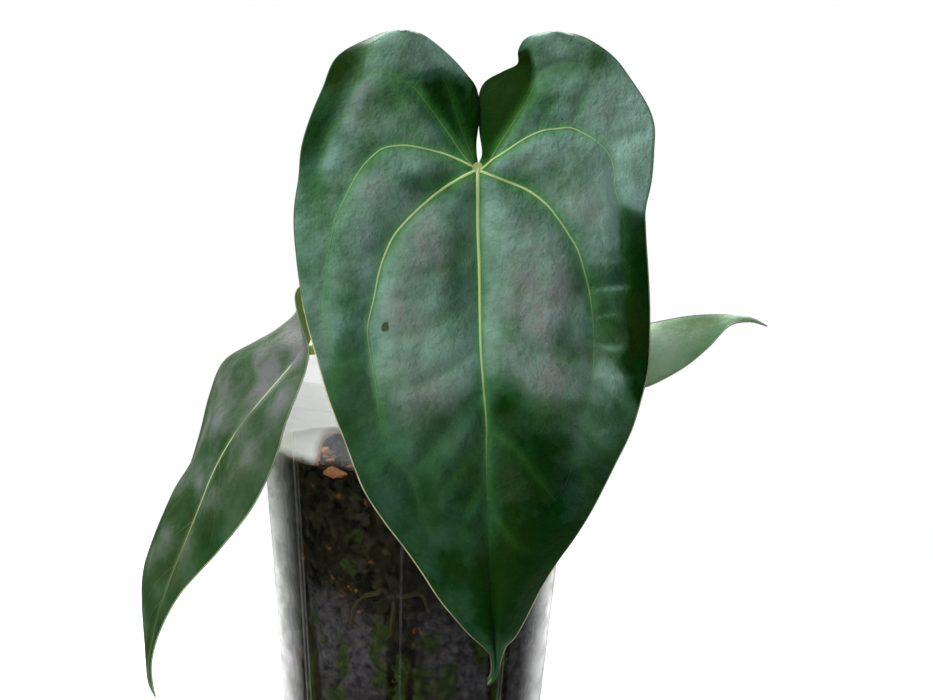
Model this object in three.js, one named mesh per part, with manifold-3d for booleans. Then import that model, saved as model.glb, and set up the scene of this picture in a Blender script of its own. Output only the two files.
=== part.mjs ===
// A potted foliage plant: three heart-shaped leaves on short stalks, rooted in bark mix
// in a tall, clear nursery pot. Millimetres, +Z up, origin at the centre of the pot's base.
// The plant is seen from the front along +Y.
import * as THREE from 'three';
import { mergeVertices } from 'three/addons/utils/BufferGeometryUtils.js';
import Module from 'manifold-3d';

const wasm = await Module();
wasm.setup();

const FIT_GAP = 0.35; // clear space between pieces that touch on the real plant
const ROUND_SIDES = 48; // sides of the pot and of the potting mix inside it

// Pot
const POT_HEIGHT = 148;
const POT_LIP_RADIUS = 67;
const POT_BASE_RADIUS = 52.5;
const POT_TAPER = 0.09; // gain of outer radius per mm of height
const POT_WALL = 1.2;
const POT_FLOOR = 1.8;
const FOOT_CHAMFER = 1.5;
const LIP_HEIGHT = 6.2;
const LIP_CHAMFER = 0.6;
const RING_DROP = 10.8; // upper ring, below the rim
const RING_PROUD = 0.5;
const STEP_DROP = 17.5; // stacking step, below the rim
const STEP_OUT = 0.7;
const STEP_RAMP = 0.8; // height over which the wall steps or rounds off
const RIB_COUNT = 8;
const FIRST_RIB = -3.6; // degrees from the front, towards +X
const RIB_WIDTH = 1.1;
const RIB_PROUD = 0.5;
const RIB_FOOT = 3; // where the ribs start, and how far below the step they end
const SLIT_WIDTH = 2.8;
const SLIT_BOTTOM = 5;
const SLIT_TOP = 34;
const SLIT_OFFSET = 3.4; // slit centre from the rib's centre
const SLIT_REACH = 12; // length of the cutter through the wall

// Potting mix and what lies in its top
const MIX_HEIGHT = 115; // at the wall
const MIX_MOUND = 4; // rise towards the stem
const MIX_LUMPS = 1.3;
const CHIP_COUNT = 9;
const LUMP_COUNT = 3;
const POCKET_GAP = 0.6; // around each chip and lump, in the pocket it lies in

// Stem, stalks and roots
const STEM_RADIUS = 7;
const STEM_FOOT = 70;
const STEM_TOP = 131;
const STEM_SIDES = 14;
const SCAR_STEP = 5; // height from one leaf scar to the next
const STALK_RADIUS = 2.2;
const STALK_BASE_RADIUS = 3.5;
const KNEE_RADIUS = 2.7; // swelling where the stalk meets its blade
const ROOT_RADIUS = 1.5;
const ROOT_CLEAR = 0.7; // between the roots' skin and the mix's outside

// Blades
const BLADE_THICKNESS = 0.8;
const ROWS_BETWEEN = 2; // rows of the mesh for each row of the tables
const FRONT_COLUMNS = 8; // from the midrib to the margin
const SIDE_COLUMNS = 5;
const SIDE_SWELL = 0.09; // rise of each half between midrib and margin, of its width
const SIDE_WAVE = 0.02; // change of that rise along the blade, of its width

const COLOURS = {
  pot: 0xd6d8dc, mix: 0x3b2f26, bark: 0x8a5634, lump: 0x2f3440,
  stem: 0x5f6b35, stalk: 0x55753a, front: 0x2f5b3c, left: 0x4c6a50, right: 0x6f8f70,
};

const degrees = (angle) => angle * Math.PI / 180;
const clamp = (value, low, high) => Math.min(high, Math.max(low, value));
const smoothstep = (low, high, value) => {
  const t = clamp((value - low) / (high - low), 0, 1);
  return t * t * (3 - 2 * t);
};

// Seeded random numbers, the same on every run
function randomFrom(seed) {
  let state = seed;
  return () => {
    state = (state * 1664525 + 1013904223) % 4294967296;
    return state / 4294967296;
  };
}

// A point at a height on a circle, with the angle measured from the front towards +X
function onCircle(radius, angle, height) {
  const turn = degrees(angle);
  return new THREE.Vector3(radius * Math.sin(turn), -radius * Math.cos(turn), height);
}

// Closed mesh to solid, and back
function toSolid(geometry) {
  const bare = geometry.clone();
  bare.deleteAttribute('normal');
  bare.deleteAttribute('uv');
  const merged = mergeVertices(bare, 1e-4);
  return new wasm.Manifold(new wasm.Mesh({
    numProp: 3,
    vertProperties: new Float32Array(merged.attributes.position.array),
    triVerts: new Uint32Array(merged.index.array),
  }));
}

function toGeometry(solid) {
  const mesh = solid.getMesh();
  const geometry = new THREE.BufferGeometry();
  geometry.setAttribute('position', new THREE.BufferAttribute(new Float32Array(mesh.vertProperties), 3));
  geometry.setIndex(new THREE.BufferAttribute(new Uint32Array(mesh.triVerts), 1));
  geometry.computeVertexNormals();
  return geometry;
}

function meshFrom(points, triangles) {
  const geometry = new THREE.BufferGeometry();
  geometry.setAttribute('position', new THREE.Float32BufferAttribute(points.flatMap((p) => p.toArray()), 3));
  geometry.setIndex(triangles);
  geometry.computeVertexNormals();
  return geometry;
}

// Profile of [radius, height] points that starts and ends on the axis, turned about +Z
function turned(profile, sides) {
  const points = profile.map(([radius, height]) => new THREE.Vector2(radius, height));
  return new THREE.LatheGeometry(points, sides).rotateX(Math.PI / 2);
}

// Round rod of changing radius along a smooth line, closed at both ends. reach moves both
// ends outwards.
function rod(route, radii, steps, sides, reach = 0) {
  const curve = new THREE.CatmullRomCurve3(route);
  const frames = curve.computeFrenetFrames(steps, false);
  const points = [];
  const ends = [];
  const triangles = [];
  for (let i = 0; i <= steps; i += 1) {
    const centre = curve.getPointAt(i / steps);
    if (i === 0) centre.addScaledVector(frames.tangents[i], -reach);
    if (i === steps) centre.addScaledVector(frames.tangents[i], reach);
    ends.push(centre);
    const place = (i / steps) * (radii.length - 1);
    const near = Math.min(Math.floor(place), radii.length - 2);
    const radius = THREE.MathUtils.lerp(radii[near], radii[near + 1], place - near);
    for (let j = 0; j < sides; j += 1) {
      const turn = (j / sides) * Math.PI * 2;
      points.push(centre.clone()
        .addScaledVector(frames.normals[i], Math.cos(turn) * radius)
        .addScaledVector(frames.binormals[i], Math.sin(turn) * radius));
    }
  }
  for (let i = 0; i < steps; i += 1) {
    for (let j = 0; j < sides; j += 1) {
      const a = i * sides + j;
      const b = i * sides + (j + 1) % sides;
      triangles.push(a, b, b + sides, a, b + sides, a + sides);
    }
  }
  const first = points.length;
  points.push(ends[0], ends[steps]);
  for (let j = 0; j < sides; j += 1) {
    const next = (j + 1) % sides;
    triangles.push(first, next, j);
    triangles.push(first + 1, steps * sides + j, steps * sides + next);
  }
  return meshFrom(points, triangles);
}

// Outer radius of the pot's wall at a height
function wallRadius(height) {
  return POT_BASE_RADIUS + POT_TAPER * height;
}

// Pot: a tapered cup with a lip, a ring and a stacking step near the top, eight upright ribs,
// and a pair of narrow air slits beside each rib at the bottom
function potGeometry() {
  const step = POT_HEIGHT - STEP_DROP;
  const ring = POT_HEIGHT - RING_DROP;
  const lip = POT_HEIGHT - LIP_HEIGHT;
  const profile = [
    [0, 0],
    [POT_BASE_RADIUS - FOOT_CHAMFER, 0],
    [wallRadius(FOOT_CHAMFER), FOOT_CHAMFER],
    [wallRadius(step), step],
    [wallRadius(step) + STEP_OUT, step + STEP_RAMP],
    [wallRadius(ring) + STEP_OUT, ring - STEP_RAMP],
    [wallRadius(ring) + STEP_OUT + RING_PROUD, ring],
    [wallRadius(ring) + STEP_OUT, ring + STEP_RAMP],
    [wallRadius(lip) + STEP_OUT, lip - STEP_RAMP],
    [POT_LIP_RADIUS, lip],
    [POT_LIP_RADIUS, POT_HEIGHT - LIP_CHAMFER],
    [POT_LIP_RADIUS - LIP_CHAMFER, POT_HEIGHT],
    [wallRadius(POT_HEIGHT) - POT_WALL, POT_HEIGHT],
    [wallRadius(POT_FLOOR + 1) - POT_WALL, POT_FLOOR + 1],
    [wallRadius(POT_FLOOR) - POT_WALL - 1, POT_FLOOR],
    [0, POT_FLOOR],
  ];
  let pot = toSolid(turned(profile, ROUND_SIDES));
  const ribHeight = step - 2 * RIB_FOOT;
  const ribMiddle = RIB_FOOT + ribHeight / 2;
  const slitHeight = SLIT_TOP - SLIT_BOTTOM;
  for (let i = 0; i < RIB_COUNT; i += 1) {
    const turn = degrees(FIRST_RIB + i * 360 / RIB_COUNT);
    const rib = new THREE.BoxGeometry(RIB_WIDTH, RIB_PROUD * 2, ribHeight);
    rib.rotateX(Math.atan(POT_TAPER));
    rib.translate(0, -wallRadius(ribMiddle), ribMiddle);
    rib.rotateZ(turn);
    pot = pot.add(toSolid(rib));
    for (const side of [-1, 1]) {
      const slit = new THREE.BoxGeometry(SLIT_WIDTH, SLIT_REACH, slitHeight);
      slit.translate(side * SLIT_OFFSET, -POT_BASE_RADIUS, SLIT_BOTTOM + slitHeight / 2);
      slit.rotateZ(turn);
      pot = pot.subtract(toSolid(slit));
    }
  }
  return toGeometry(pot);
}

// Height of the potting mix: a low mound with bumps the size of bark pieces
function mixHeight(radius, turn) {
  const edge = wallRadius(MIX_HEIGHT) - POT_WALL;
  const mound = MIX_MOUND * (1 - (radius / edge) ** 2);
  const bumps = Math.sin(radius * 0.34 + 3 * turn) + Math.sin(5 * turn - radius * 0.21 + 1);
  const awayFromStem = clamp((radius - STEM_RADIUS) / 12, 0, 1);
  return MIX_HEIGHT + mound + MIX_LUMPS * 0.5 * bumps * awayFromStem;
}

// Potting mix: fills the pot to MIX_HEIGHT, just clear of the wall and floor
function mixSolid() {
  const rings = [0.2, 0.36, 0.52, 0.68, 0.84, 1];
  const points = [new THREE.Vector3(0, 0, mixHeight(0, 0))];
  const triangles = [];
  const sides = ROUND_SIDES;
  for (const share of rings) {
    for (let j = 0; j < sides; j += 1) {
      const angle = (j / sides) * 360;
      const height = mixHeight(share * (wallRadius(MIX_HEIGHT) - POT_WALL), degrees(angle));
      points.push(onCircle(share * (wallRadius(height) - POT_WALL - FIT_GAP), angle, height));
    }
  }
  const floors = [[POT_FLOOR + 1 + FIT_GAP, FIT_GAP], [POT_FLOOR + FIT_GAP, FIT_GAP + 1.2]];
  for (const [height, inset] of floors) {
    for (let j = 0; j < sides; j += 1) {
      points.push(onCircle(wallRadius(height) - POT_WALL - inset, (j / sides) * 360, height));
    }
  }
  points.push(new THREE.Vector3(0, 0, POT_FLOOR + FIT_GAP));
  const bands = rings.length + floors.length - 1;
  for (let j = 0; j < sides; j += 1) {
    const next = (j + 1) % sides;
    triangles.push(0, 1 + j, 1 + next);
    for (let i = 0; i < bands; i += 1) {
      const a = 1 + i * sides + j;
      const b = 1 + i * sides + next;
      triangles.push(a, b + sides, b, a, a + sides, b + sides);
    }
    triangles.push(points.length - 1, 1 + bands * sides + next, 1 + bands * sides + j);
  }
  return toSolid(meshFrom(points, triangles));
}

// Stem: a short, thick stem with leaf scars, pointed at the top, on a thinner foot
function stemProfile(extra) {
  const scars = [];
  for (let height = STEM_TOP - 4 * SCAR_STEP; height < STEM_TOP - 4; height += SCAR_STEP) {
    scars.push([STEM_RADIUS - 0.5 + extra, height], [STEM_RADIUS + extra, height + 1.5]);
  }
  return [
    [0, STEM_FOOT - extra],
    [STEM_RADIUS - 3 + extra, STEM_FOOT - extra],
    [STEM_RADIUS - 1.5 + extra, STEM_TOP - 5 * SCAR_STEP],
    ...scars,
    [STEM_RADIUS - 1.2 + extra, STEM_TOP],
    [2 + extra, STEM_TOP + 6],
    [0, STEM_TOP + 9 + extra],
  ];
}

// Where the thick roots run: out of the stem's foot to the wall, then along it.
// Each is [height at the stem, then angle and height pairs on the wall].
const ROOTS = [
  { leave: 96, wall: [[-12, 68], [-19, 64.5], [-24, 58], [-25.5, 45]] },
  { leave: 88, wall: [[-5, 66], [3.5, 66.5], [6.5, 62], [9.5, 54]] },
  { leave: 80, wall: [[-6.5, 63], [-7.5, 52], [-7, 45]] },
  { leave: 98, wall: [[52, 84], [60, 76], [66, 62], [64, 44]] },
  { leave: 84, wall: [[98, 58], [104, 50], [101, 34], [96, 22]] },
  { leave: 94, wall: [[150, 78], [158, 72], [163, 60], [160, 42]] },
  { leave: 78, wall: [[197, 50], [205, 44], [214, 40], [220, 30]] },
  { leave: 90, wall: [[262, 90], [270, 84], [281, 80], [288, 66]] },
];

function rootRoute({ leave, wall }) {
  const clear = POT_WALL + FIT_GAP + ROOT_RADIUS + ROOT_CLEAR;
  const wallPoints = wall.map(([angle, height]) => onCircle(wallRadius(height) - clear, angle, height));
  const [angle, height] = wall[0];
  return [
    onCircle(2, angle, leave),
    onCircle(16, angle + 8, leave + 2),
    onCircle(34, angle - 6, (leave + height) / 2),
    ...wallPoints,
  ];
}

function rootsSolid(extra) {
  const radii = [ROOT_RADIUS + 0.7 + extra, ROOT_RADIUS + extra, ROOT_RADIUS - 0.4 + extra];
  const solids = ROOTS.map((root) => toSolid(rod(rootRoute(root), radii, 14, 5, extra)));
  return solids.reduce((all, solid) => all.add(solid));
}

// Leaf stalks: from the stem's side to the knee behind each blade
const STALKS = {
  front: [
    [1, -4, 124], [2.5, -9.5, 133], [4, -14, 151], [8.5, -29, 183],
    [14, -48, 212], [19, -63, 229], [21.5, -70, 233.4], [22.1, -76.4, 233.6],
  ],
  left: [
    [-3.5, -2, 124], [-9, -6.5, 132], [-16, -14.5, 145], [-25, -26, 156],
    [-33, -35, 160.5], [-38, -41, 160.6], [-43.2, -45, 160],
  ],
  right: [
    [3, 3, 124], [7, 8, 132], [13, 15, 144], [21, 22, 153.5], [29, 27, 157.6], [35, 30, 161.2],
  ],
};

// The knee ends flat, just under the blade's lower face. underside is the way that face looks.
function stalkGeometry(route, stem, underside) {
  const radii = [
    STALK_BASE_RADIUS, STALK_BASE_RADIUS, STALK_RADIUS, STALK_RADIUS, STALK_RADIUS,
    STALK_RADIUS, KNEE_RADIUS, STALK_RADIUS - 0.6,
  ];
  const points = route.map((point) => new THREE.Vector3(...point));
  const up = new THREE.Vector3(0, 0, 1);
  const cut = new THREE.BoxGeometry(14, 14, 8);
  cut.translate(0, 0, -4 + BLADE_THICKNESS / 2 + FIT_GAP);
  cut.applyQuaternion(new THREE.Quaternion().setFromUnitVectors(up, underside));
  cut.translate(...points[points.length - 1].toArray());
  const stalk = toSolid(rod(points, radii, 20, 8));
  return toGeometry(stalk.subtract(stem).subtract(toSolid(cut)));
}

// A rough stone: an icosahedron whose corners are moved in and out
function stoneGeometry(size, rough, detail, random) {
  const ball = new THREE.IcosahedronGeometry(1, detail);
  ball.deleteAttribute('normal');
  ball.deleteAttribute('uv');
  const stone = mergeVertices(ball, 1e-4);
  const place = stone.attributes.position;
  const corner = new THREE.Vector3();
  for (let i = 0; i < place.count; i += 1) {
    corner.fromBufferAttribute(place, i);
    corner.multiply(new THREE.Vector3(...size)).multiplyScalar(1 + rough * (random() - 0.5));
    place.setXYZ(i, corner.x, corner.y, corner.z);
  }
  return stone;
}

// Bark chips and dark lumps, each sunk into a pocket of its own in the mix. The first of each
// lies against the wall at the front left; the others are spread over the top.
function looseBits() {
  const random = randomFrom(7);
  const bits = [
    { kind: 'bark', size: [7.5, 3.2, 2.8], radius: 56.5, angle: -32.5, turn: -30, up: -2.6 },
  ];
  for (let i = 2; i <= CHIP_COUNT; i += 1) {
    const radius = i % 2 ? 24 + 4 * random() : 44 + 8 * random();
    const size = [5 + 3 * random(), 3 + 1.5 * random(), 2 + random()];
    bits.push({ kind: 'bark', size, radius, angle: -70 + i * 137.5, turn: 360 * random(), up: 0.4 });
  }
  bits.push({ kind: 'lump', size: [6.5, 6, 6.5], radius: 46, angle: -35, turn: 0, up: 4.5 });
  for (let i = 2; i <= LUMP_COUNT; i += 1) {
    const size = [4 + random(), 4 + random(), 3.5 + random()];
    bits.push({ kind: 'lump', size, radius: 36, angle: -20 + i * 105, turn: 0, up: 1 });
  }
  return bits.map((bit, i) => {
    const detail = bit.kind === 'bark' ? 0 : 1;
    const rough = bit.kind === 'bark' ? 0.35 : 0.22;
    const shape = stoneGeometry(bit.size, rough, detail, random);
    const place = onCircle(bit.radius, bit.angle, 0);
    place.z = mixHeight(bit.radius, degrees(bit.angle)) + bit.up;
    const grow = bit.size.map((length) => (length + POCKET_GAP) / length);
    const pocket = shape.clone().scale(...grow);
    for (const geometry of [shape, pocket]) {
      geometry.rotateZ(degrees(bit.turn)).translate(place.x, place.y, place.z);
    }
    const name = bit.kind === 'bark' ? `bark_chip_${i + 1}` : `dark_lump_${i + 1 - CHIP_COUNT}`;
    return { name, kind: bit.kind, shape, pocket: toSolid(pocket) };
  });
}

// Front blade, mm from the point where the stalk joins it: [inner x, inner z, margin x, margin z].
// Each half starts at the top of its lobe, and its inner edge comes down to the joint.
const FRONT_LEFT_LOBE = [
  [-26.8, 49.3, -32.5, 49.4], [-20.6, 47.4, -39.6, 47.3], [-12.1, 41.2, -53.5, 39.4],
  [-5.3, 34.2, -58.9, 27], [-1.2, 28.3, -63.3, 15.8], [0.1, 19.4, -66.3, 5],
  [-0.8, 8.6, -67.2, -6.2],
];
const FRONT_RIGHT_LOBE = [
  [24, 50, 30.5, 50.2], [16.9, 47.6, 38.8, 48.3], [14.1, 43.4, 49.2, 41.8],
  [13.9, 38.2, 56.8, 32.6], [8.4, 35.1, 62.8, 23.6], [1.9, 31, 65.4, 16],
  [-0.3, 24.4, 65.4, 7.4], [0.3, 13.4, 64.9, -3.9], [1.4, 5, 63.2, -14.5],
];
// Below the joint: [midrib x, midrib z, left margin x, z, right margin x, z]
const FRONT_BODY = [
  [0, 0, -68.6, -21.5, 63.6, -22.6], [0.5, -21.9, -66.3, -44.6, 65.4, -43.3],
  [1.3, -35.7, -63.5, -59.3, 66.3, -57.3], [2, -51.8, -58.7, -75.2, 66.4, -74.4],
  [2.8, -68.8, -53.9, -91.6, 63.9, -87.2], [4.4, -84.8, -47.7, -107.1, 60.4, -100],
  [5.7, -97.4, -41, -123.8, 54.3, -114.7], [6, -111.8, -32.7, -137.2, 47.7, -129.2],
  [6.7, -125.5, -25.3, -147.2, 40.9, -141.6], [7.5, -138.6, -17.9, -157.6, 34.4, -152.2],
  [8.4, -151.5, -10.9, -168.2, 28.9, -162.6], [9.3, -163.8, -4.3, -176.5, 23.1, -175.7],
  [10.1, -174.6, 1.5, -183.3, 19, -183.7], [10.8, -182.9, 7.2, -188.8, 15.6, -187.8],
  [11.5, -189.5, 9.8, -192.6, 13.8, -193.6], [11.8, -195.2, 10.4, -197.9, 12.7, -198.9],
  [10.7, -199, 9.9, -201.2, 11.2, -201.8], [9, -202.6, 9, -202.6, 9, -202.6],
];
const FRONT_JOINT = new THREE.Vector3(22.1, -76.4, 234.3);
const FRONT_PLANE = -70; // y of the blade before it bulges forward

// How far the front blade stands forward of its plane. It arches along its length, each half
// is cushioned and rolls back at the margin, and the lobes fold back beside the cleft.
function frontBulge(height, share, fromEdge, side) {
  const below = Math.max(0, -60 - height) / 133;
  const above = Math.max(0, height + 60) / 110;
  const arch = 8 - 18 * below ** 2 - 5.5 * above ** 2;
  const cushion = 3.4 * Math.sin(Math.PI * share) - 6 * share ** 3;
  const waves = 1.1 * share ** 2 * Math.sin(height * 0.13 + side);
  const foldWidth = clamp(0.75 * height + 2.5, 1, 26);
  const folded = clamp(1 - fromEdge / foldWidth, 0, 1) ** 1.15;
  const fold = 0.42 * foldWidth * smoothstep(1, 12, height) * folded;
  const overlap = -side * 0.75 * smoothstep(3, 12, height) * clamp(1 - fromEdge / 6, 0, 1);
  const apex = height > 30 ? smoothstep(51, 38, height) : 1;
  return arch + cushion + waves - fold * apex + overlap;
}

// Left and right blades, mm: [inner x, y, z, margin x, y, z], near half (towards -Y) and far half.
// The rows before the joint's row belong to the lobe; from there on both halves share the midrib.
const LEFT_JOINT = 4;
const RIGHT_JOINT = 3;
const LEFT_NEAR = [
  [-41.6, -55.4, 186.4, -43.4, -58, 186.9], [-40.7, -54, 182.4, -45.7, -59.4, 185],
  [-40.3, -52, 176.9, -46.5, -60, 181.2], [-40.9, -48, 167.5, -44.5, -61.7, 172.6],
  [-43.2, -45, 160, -41, -62.1, 163.2], [-50.1, -45, 151.6, -41.5, -66.5, 155.6],
  [-60.1, -45, 139.5, -43.9, -72.6, 147.5], [-69.6, -46, 126.8, -47.9, -78.1, 136.4],
  [-77.7, -46, 112.3, -52.1, -78.8, 121.1], [-83.9, -45, 96.4, -60.5, -77.4, 103],
  [-90.3, -43, 79.8, -72.9, -71.6, 85.7], [-94, -42, 70.6, -81, -66.8, 75.9],
  [-97.2, -41, 61.4, -88.7, -60.7, 66.3], [-100, -40, 51.8, -94.8, -53.5, 55.9],
  [-102.3, -39, 41.3, -100, -46.7, 44.1], [-104.3, -38, 32, -103, -41.6, 32.9],
  [-104, -37, 23.5, -103, -38.6, 23.6], [-102.1, -36, 17.1, -102.1, -36, 17.1],
];
const LEFT_FAR = [
  [-42.6, -30.5, 178.2, -44.2, -26, 178.2], [-41.8, -33, 174.4, -47.4, -18, 175.2],
  [-41.5, -38, 169.2, -51.8, -13.1, 168.9], [-41.7, -42, 164.5, -58.5, -12.1, 163.6],
  [-43.2, -45, 160, -65.8, -13.3, 159.3], [-50.1, -45, 151.6, -78.9, -11.1, 150.6],
  [-60.1, -45, 139.5, -85.2, -6.6, 135.7], [-69.6, -46, 126.8, -89.1, -5.5, 119.7],
  [-77.7, -46, 112.3, -94.3, -6.4, 102.9], [-83.9, -45, 96.4, -102.7, -10.2, 87.7],
  [-90.3, -43, 79.8, -108.6, -16.4, 70.9], [-94, -42, 70.6, -109.9, -20.5, 62.2],
  [-97.2, -41, 61.4, -109.4, -24.9, 54.1], [-100, -40, 51.8, -108.3, -28.9, 46],
  [-102.3, -39, 41.3, -106.9, -32.9, 37.6], [-104.3, -38, 32, -106, -34.8, 30.3],
  [-104, -37, 23.5, -104.9, -35.6, 22.5], [-102.1, -36, 17.1, -102.1, -36, 17.1],
];
const RIGHT_NEAR = [
  [8, 12.5, 160.8, 7.9, 7, 160.4], [13, 19, 161, 10.8, 0.5, 159.6], [24, 26, 161, 22, -5.5, 158.6],
  [35, 30, 161.2, 36, -8, 158.2], [46.7, 32, 162, 47.5, -7, 157.6], [56.1, 33.5, 163, 57, -5.2, 155.6],
  [66, 35, 163.5, 64.5, -2, 151.8], [75, 36, 163.6, 72.8, 2.2, 146.3], [83.6, 37, 163.7, 81.6, 8.4, 142],
  [91.3, 38, 164.2, 90.4, 14.3, 140.6], [98.6, 38.5, 165.4, 97.9, 19.6, 141.5],
  [111.9, 39.5, 168.2, 111.8, 26.7, 148.4], [123, 40, 169.4, 122.2, 31.5, 156.5],
  [133.3, 40, 169.4, 130.8, 33, 165.6], [141.5, 40, 168.6, 139.5, 37.3, 167.5],
  [148.1, 40, 165.3, 148.1, 40, 165.3],
];
const RIGHT_FAR = [
  [9.5, 45, 156.8, 9.2, 51, 155], [13.5, 39.5, 158.8, 12.6, 58, 152.6], [24, 33.5, 160.6, 24, 64.5, 150.6],
  [35, 30, 161.2, 37, 67, 149.6], [46.7, 32, 162, 49, 69.5, 150.2], [56.1, 33.5, 163, 59, 71.5, 150.8],
  [66, 35, 163.5, 68, 72.5, 149.8], [75, 36, 163.6, 76, 72, 148.4], [83.6, 37, 163.7, 84.5, 70.5, 147.6],
  [91.3, 38, 164.2, 93, 68.5, 147.6], [98.6, 38.5, 165.4, 101, 65, 149],
  [111.9, 39.5, 168.2, 115, 57, 155], [123, 40, 169.4, 125.5, 49.5, 161.4],
  [133.3, 40, 169.4, 134.6, 44.4, 165.8], [141.5, 40, 168.6, 142, 41.8, 166.8],
  [148.1, 40, 165.3, 148.1, 40, 165.3],
];
const UNDERSIDES = {
  front: new THREE.Vector3(0, 1, 0),
  left: new THREE.Vector3(0.74, 0.23, -0.61).normalize(),
  right: new THREE.Vector3(0, 0, -1),
};
const LEFT_FACE = new THREE.Vector3(-0.86, -0.35, 0.37); // the way each upper face looks
const RIGHT_NEAR_FACE = new THREE.Vector3(0, -0.4, 0.9);
const RIGHT_FAR_FACE = new THREE.Vector3(0, 0.4, 0.9);

// Rows drawn in between by a Catmull-Rom curve through the given rows, in every number of the row.
// The inner edge has a corner at the joint row, so there the curve of its numbers starts afresh.
function fillRows(rows, joint) {
  const filled = [];
  for (let i = 0; i < rows.length - 1; i += 1) {
    const b = rows[i];
    const c = rows[i + 1];
    for (let step = 0; step < ROWS_BETWEEN; step += 1) {
      const t = step / ROWS_BETWEEN;
      filled.push(b.map((value, k) => {
        const inner = k < b.length / 2;
        const a = i === 0 || (inner && i === joint) ? value : rows[i - 1][k];
        const d = i === rows.length - 2 || (inner && i + 1 === joint) ? c[k] : rows[i + 2][k];
        const cubic = t * (3 * (value - c[k]) + d - a);
        return value + 0.5 * t * (c[k] - a + t * (2 * a - 5 * value + 4 * c[k] - d + cubic));
      }));
    }
  }
  filled.push(rows[rows.length - 1]);
  return filled;
}

// Points of the front blade's rows. side is -1 for the left half and 1 for the right half.
function frontRows(lobe, side) {
  const margin = side < 0 ? 2 : 4;
  const body = FRONT_BODY.map((row) => [row[0], row[1], row[margin], row[margin + 1]]);
  const rows = fillRows([...lobe, ...body], lobe.length);
  return rows.map(([innerX, innerZ, outerX, outerZ]) => {
    const width = Math.hypot(outerX - innerX, outerZ - innerZ);
    return Array.from({ length: FRONT_COLUMNS + 1 }, (_, j) => {
      const share = j / FRONT_COLUMNS;
      const x = THREE.MathUtils.lerp(innerX, outerX, share);
      const z = THREE.MathUtils.lerp(innerZ, outerZ, share);
      const y = FRONT_PLANE - frontBulge(z, share, share * width, side);
      return new THREE.Vector3(FRONT_JOINT.x + x, y, FRONT_JOINT.z + z);
    });
  });
}

// Points of a side blade's rows. Between midrib and margin each row swells to the upper face,
// and the margin waves a little.
function sideRows(rows, joint, swell) {
  return fillRows(rows, joint).map((row, i) => {
    const inner = new THREE.Vector3(...row.slice(0, 3));
    const outer = new THREE.Vector3(...row.slice(3));
    const width = inner.distanceTo(outer);
    return Array.from({ length: SIDE_COLUMNS + 1 }, (_, j) => {
      const share = j / SIDE_COLUMNS;
      const cushion = SIDE_SWELL * Math.sin(Math.PI * share);
      const wave = SIDE_WAVE * Math.sin(Math.PI * 2 * share) * Math.sin(i);
      return inner.clone().lerp(outer, share).addScaledVector(swell, (cushion + wave) * width);
    });
  });
}

// A blade is two strips of rows that share their inner points from the joint to the tip,
// where each strip closes to a point.
function bladeGeometry(halves) {
  const points = [];
  const [leftRows, rightRows] = halves;
  const nets = halves.map((rows) => rows.map(() => []));
  halves.forEach((rows, half) => rows.forEach((row, i) => row.forEach((point, j) => {
    const leftRow = i + leftRows.length - rightRows.length;
    const seam = half === 1 && j === 0 && leftRow >= 0;
    if (seam && leftRows[leftRow][0].distanceTo(point) < 1e-6) nets[1][i][0] = nets[0][leftRow][0];
    else if (i === rows.length - 1 && j > 0) nets[half][i][j] = nets[half][i][0];
    else nets[half][i][j] = points.push(point) - 1;
  })));
  const face = [];
  nets.forEach((net, half) => {
    for (let i = 0; i < net.length - 1; i += 1) {
      for (let j = 0; j < net[i].length - 1; j += 1) {
        const [a, b, c, d] = [net[i][j], net[i][j + 1], net[i + 1][j + 1], net[i + 1][j]];
        for (const [p, q, r] of [[a, b, c], [a, c, d]]) {
          if (p === q || q === r || r === p) continue;
          face.push(half === 0 ? [p, r, q] : [p, q, r]);
        }
      }
    }
  });
  return thickened(points, face);
}

// Both faces are the same net of triangles, pushed apart by half the thickness
function thickened(points, face) {
  const normals = points.map(() => new THREE.Vector3());
  for (const [p, q, r] of face) {
    const across = points[q].clone().sub(points[p]).cross(points[r].clone().sub(points[p]));
    [p, q, r].forEach((k) => normals[k].add(across));
  }
  const shifted = (sign) => points.map((point, k) => (
    point.clone().addScaledVector(normals[k].normalize(), sign * BLADE_THICKNESS / 2)));
  const count = points.length;
  const triangles = [];
  const edges = new Map();
  for (const [p, q, r] of face) {
    triangles.push(p, q, r, count + p, count + r, count + q);
    for (const [a, b] of [[p, q], [q, r], [r, p]]) {
      if (edges.has(`${b} ${a}`)) edges.delete(`${b} ${a}`);
      else edges.set(`${a} ${b}`, [a, b]);
    }
  }
  for (const [a, b] of edges.values()) {
    triangles.push(b, a, count + a, b, count + a, count + b);
  }
  return meshFrom([...shifted(1), ...shifted(-1)], triangles);
}

function material(colour, roughness) {
  return new THREE.MeshStandardMaterial({ color: colour, roughness, metalness: 0 });
}

const plant = new THREE.Group();

function addPiece(name, geometry, pieceMaterial) {
  const piece = new THREE.Mesh(geometry, pieceMaterial);
  piece.name = name;
  plant.add(piece);
}

const potMaterial = new THREE.MeshStandardMaterial({
  color: COLOURS.pot, roughness: 0.35, metalness: 0, transparent: true, opacity: 0.55,
});
addPiece('pot', potGeometry(), potMaterial);

const bits = looseBits();
const stemBore = toSolid(turned(stemProfile(FIT_GAP), STEM_SIDES));
let mix = mixSolid().subtract(stemBore).subtract(rootsSolid(FIT_GAP));
for (const bit of bits) mix = mix.subtract(bit.pocket);
addPiece('potting_mix', toGeometry(mix), material(COLOURS.mix, 0.95));

const stem = toSolid(turned(stemProfile(0), STEM_SIDES)).add(rootsSolid(0));
addPiece('stem_with_roots', toGeometry(stem), material(COLOURS.stem, 0.6));

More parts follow.
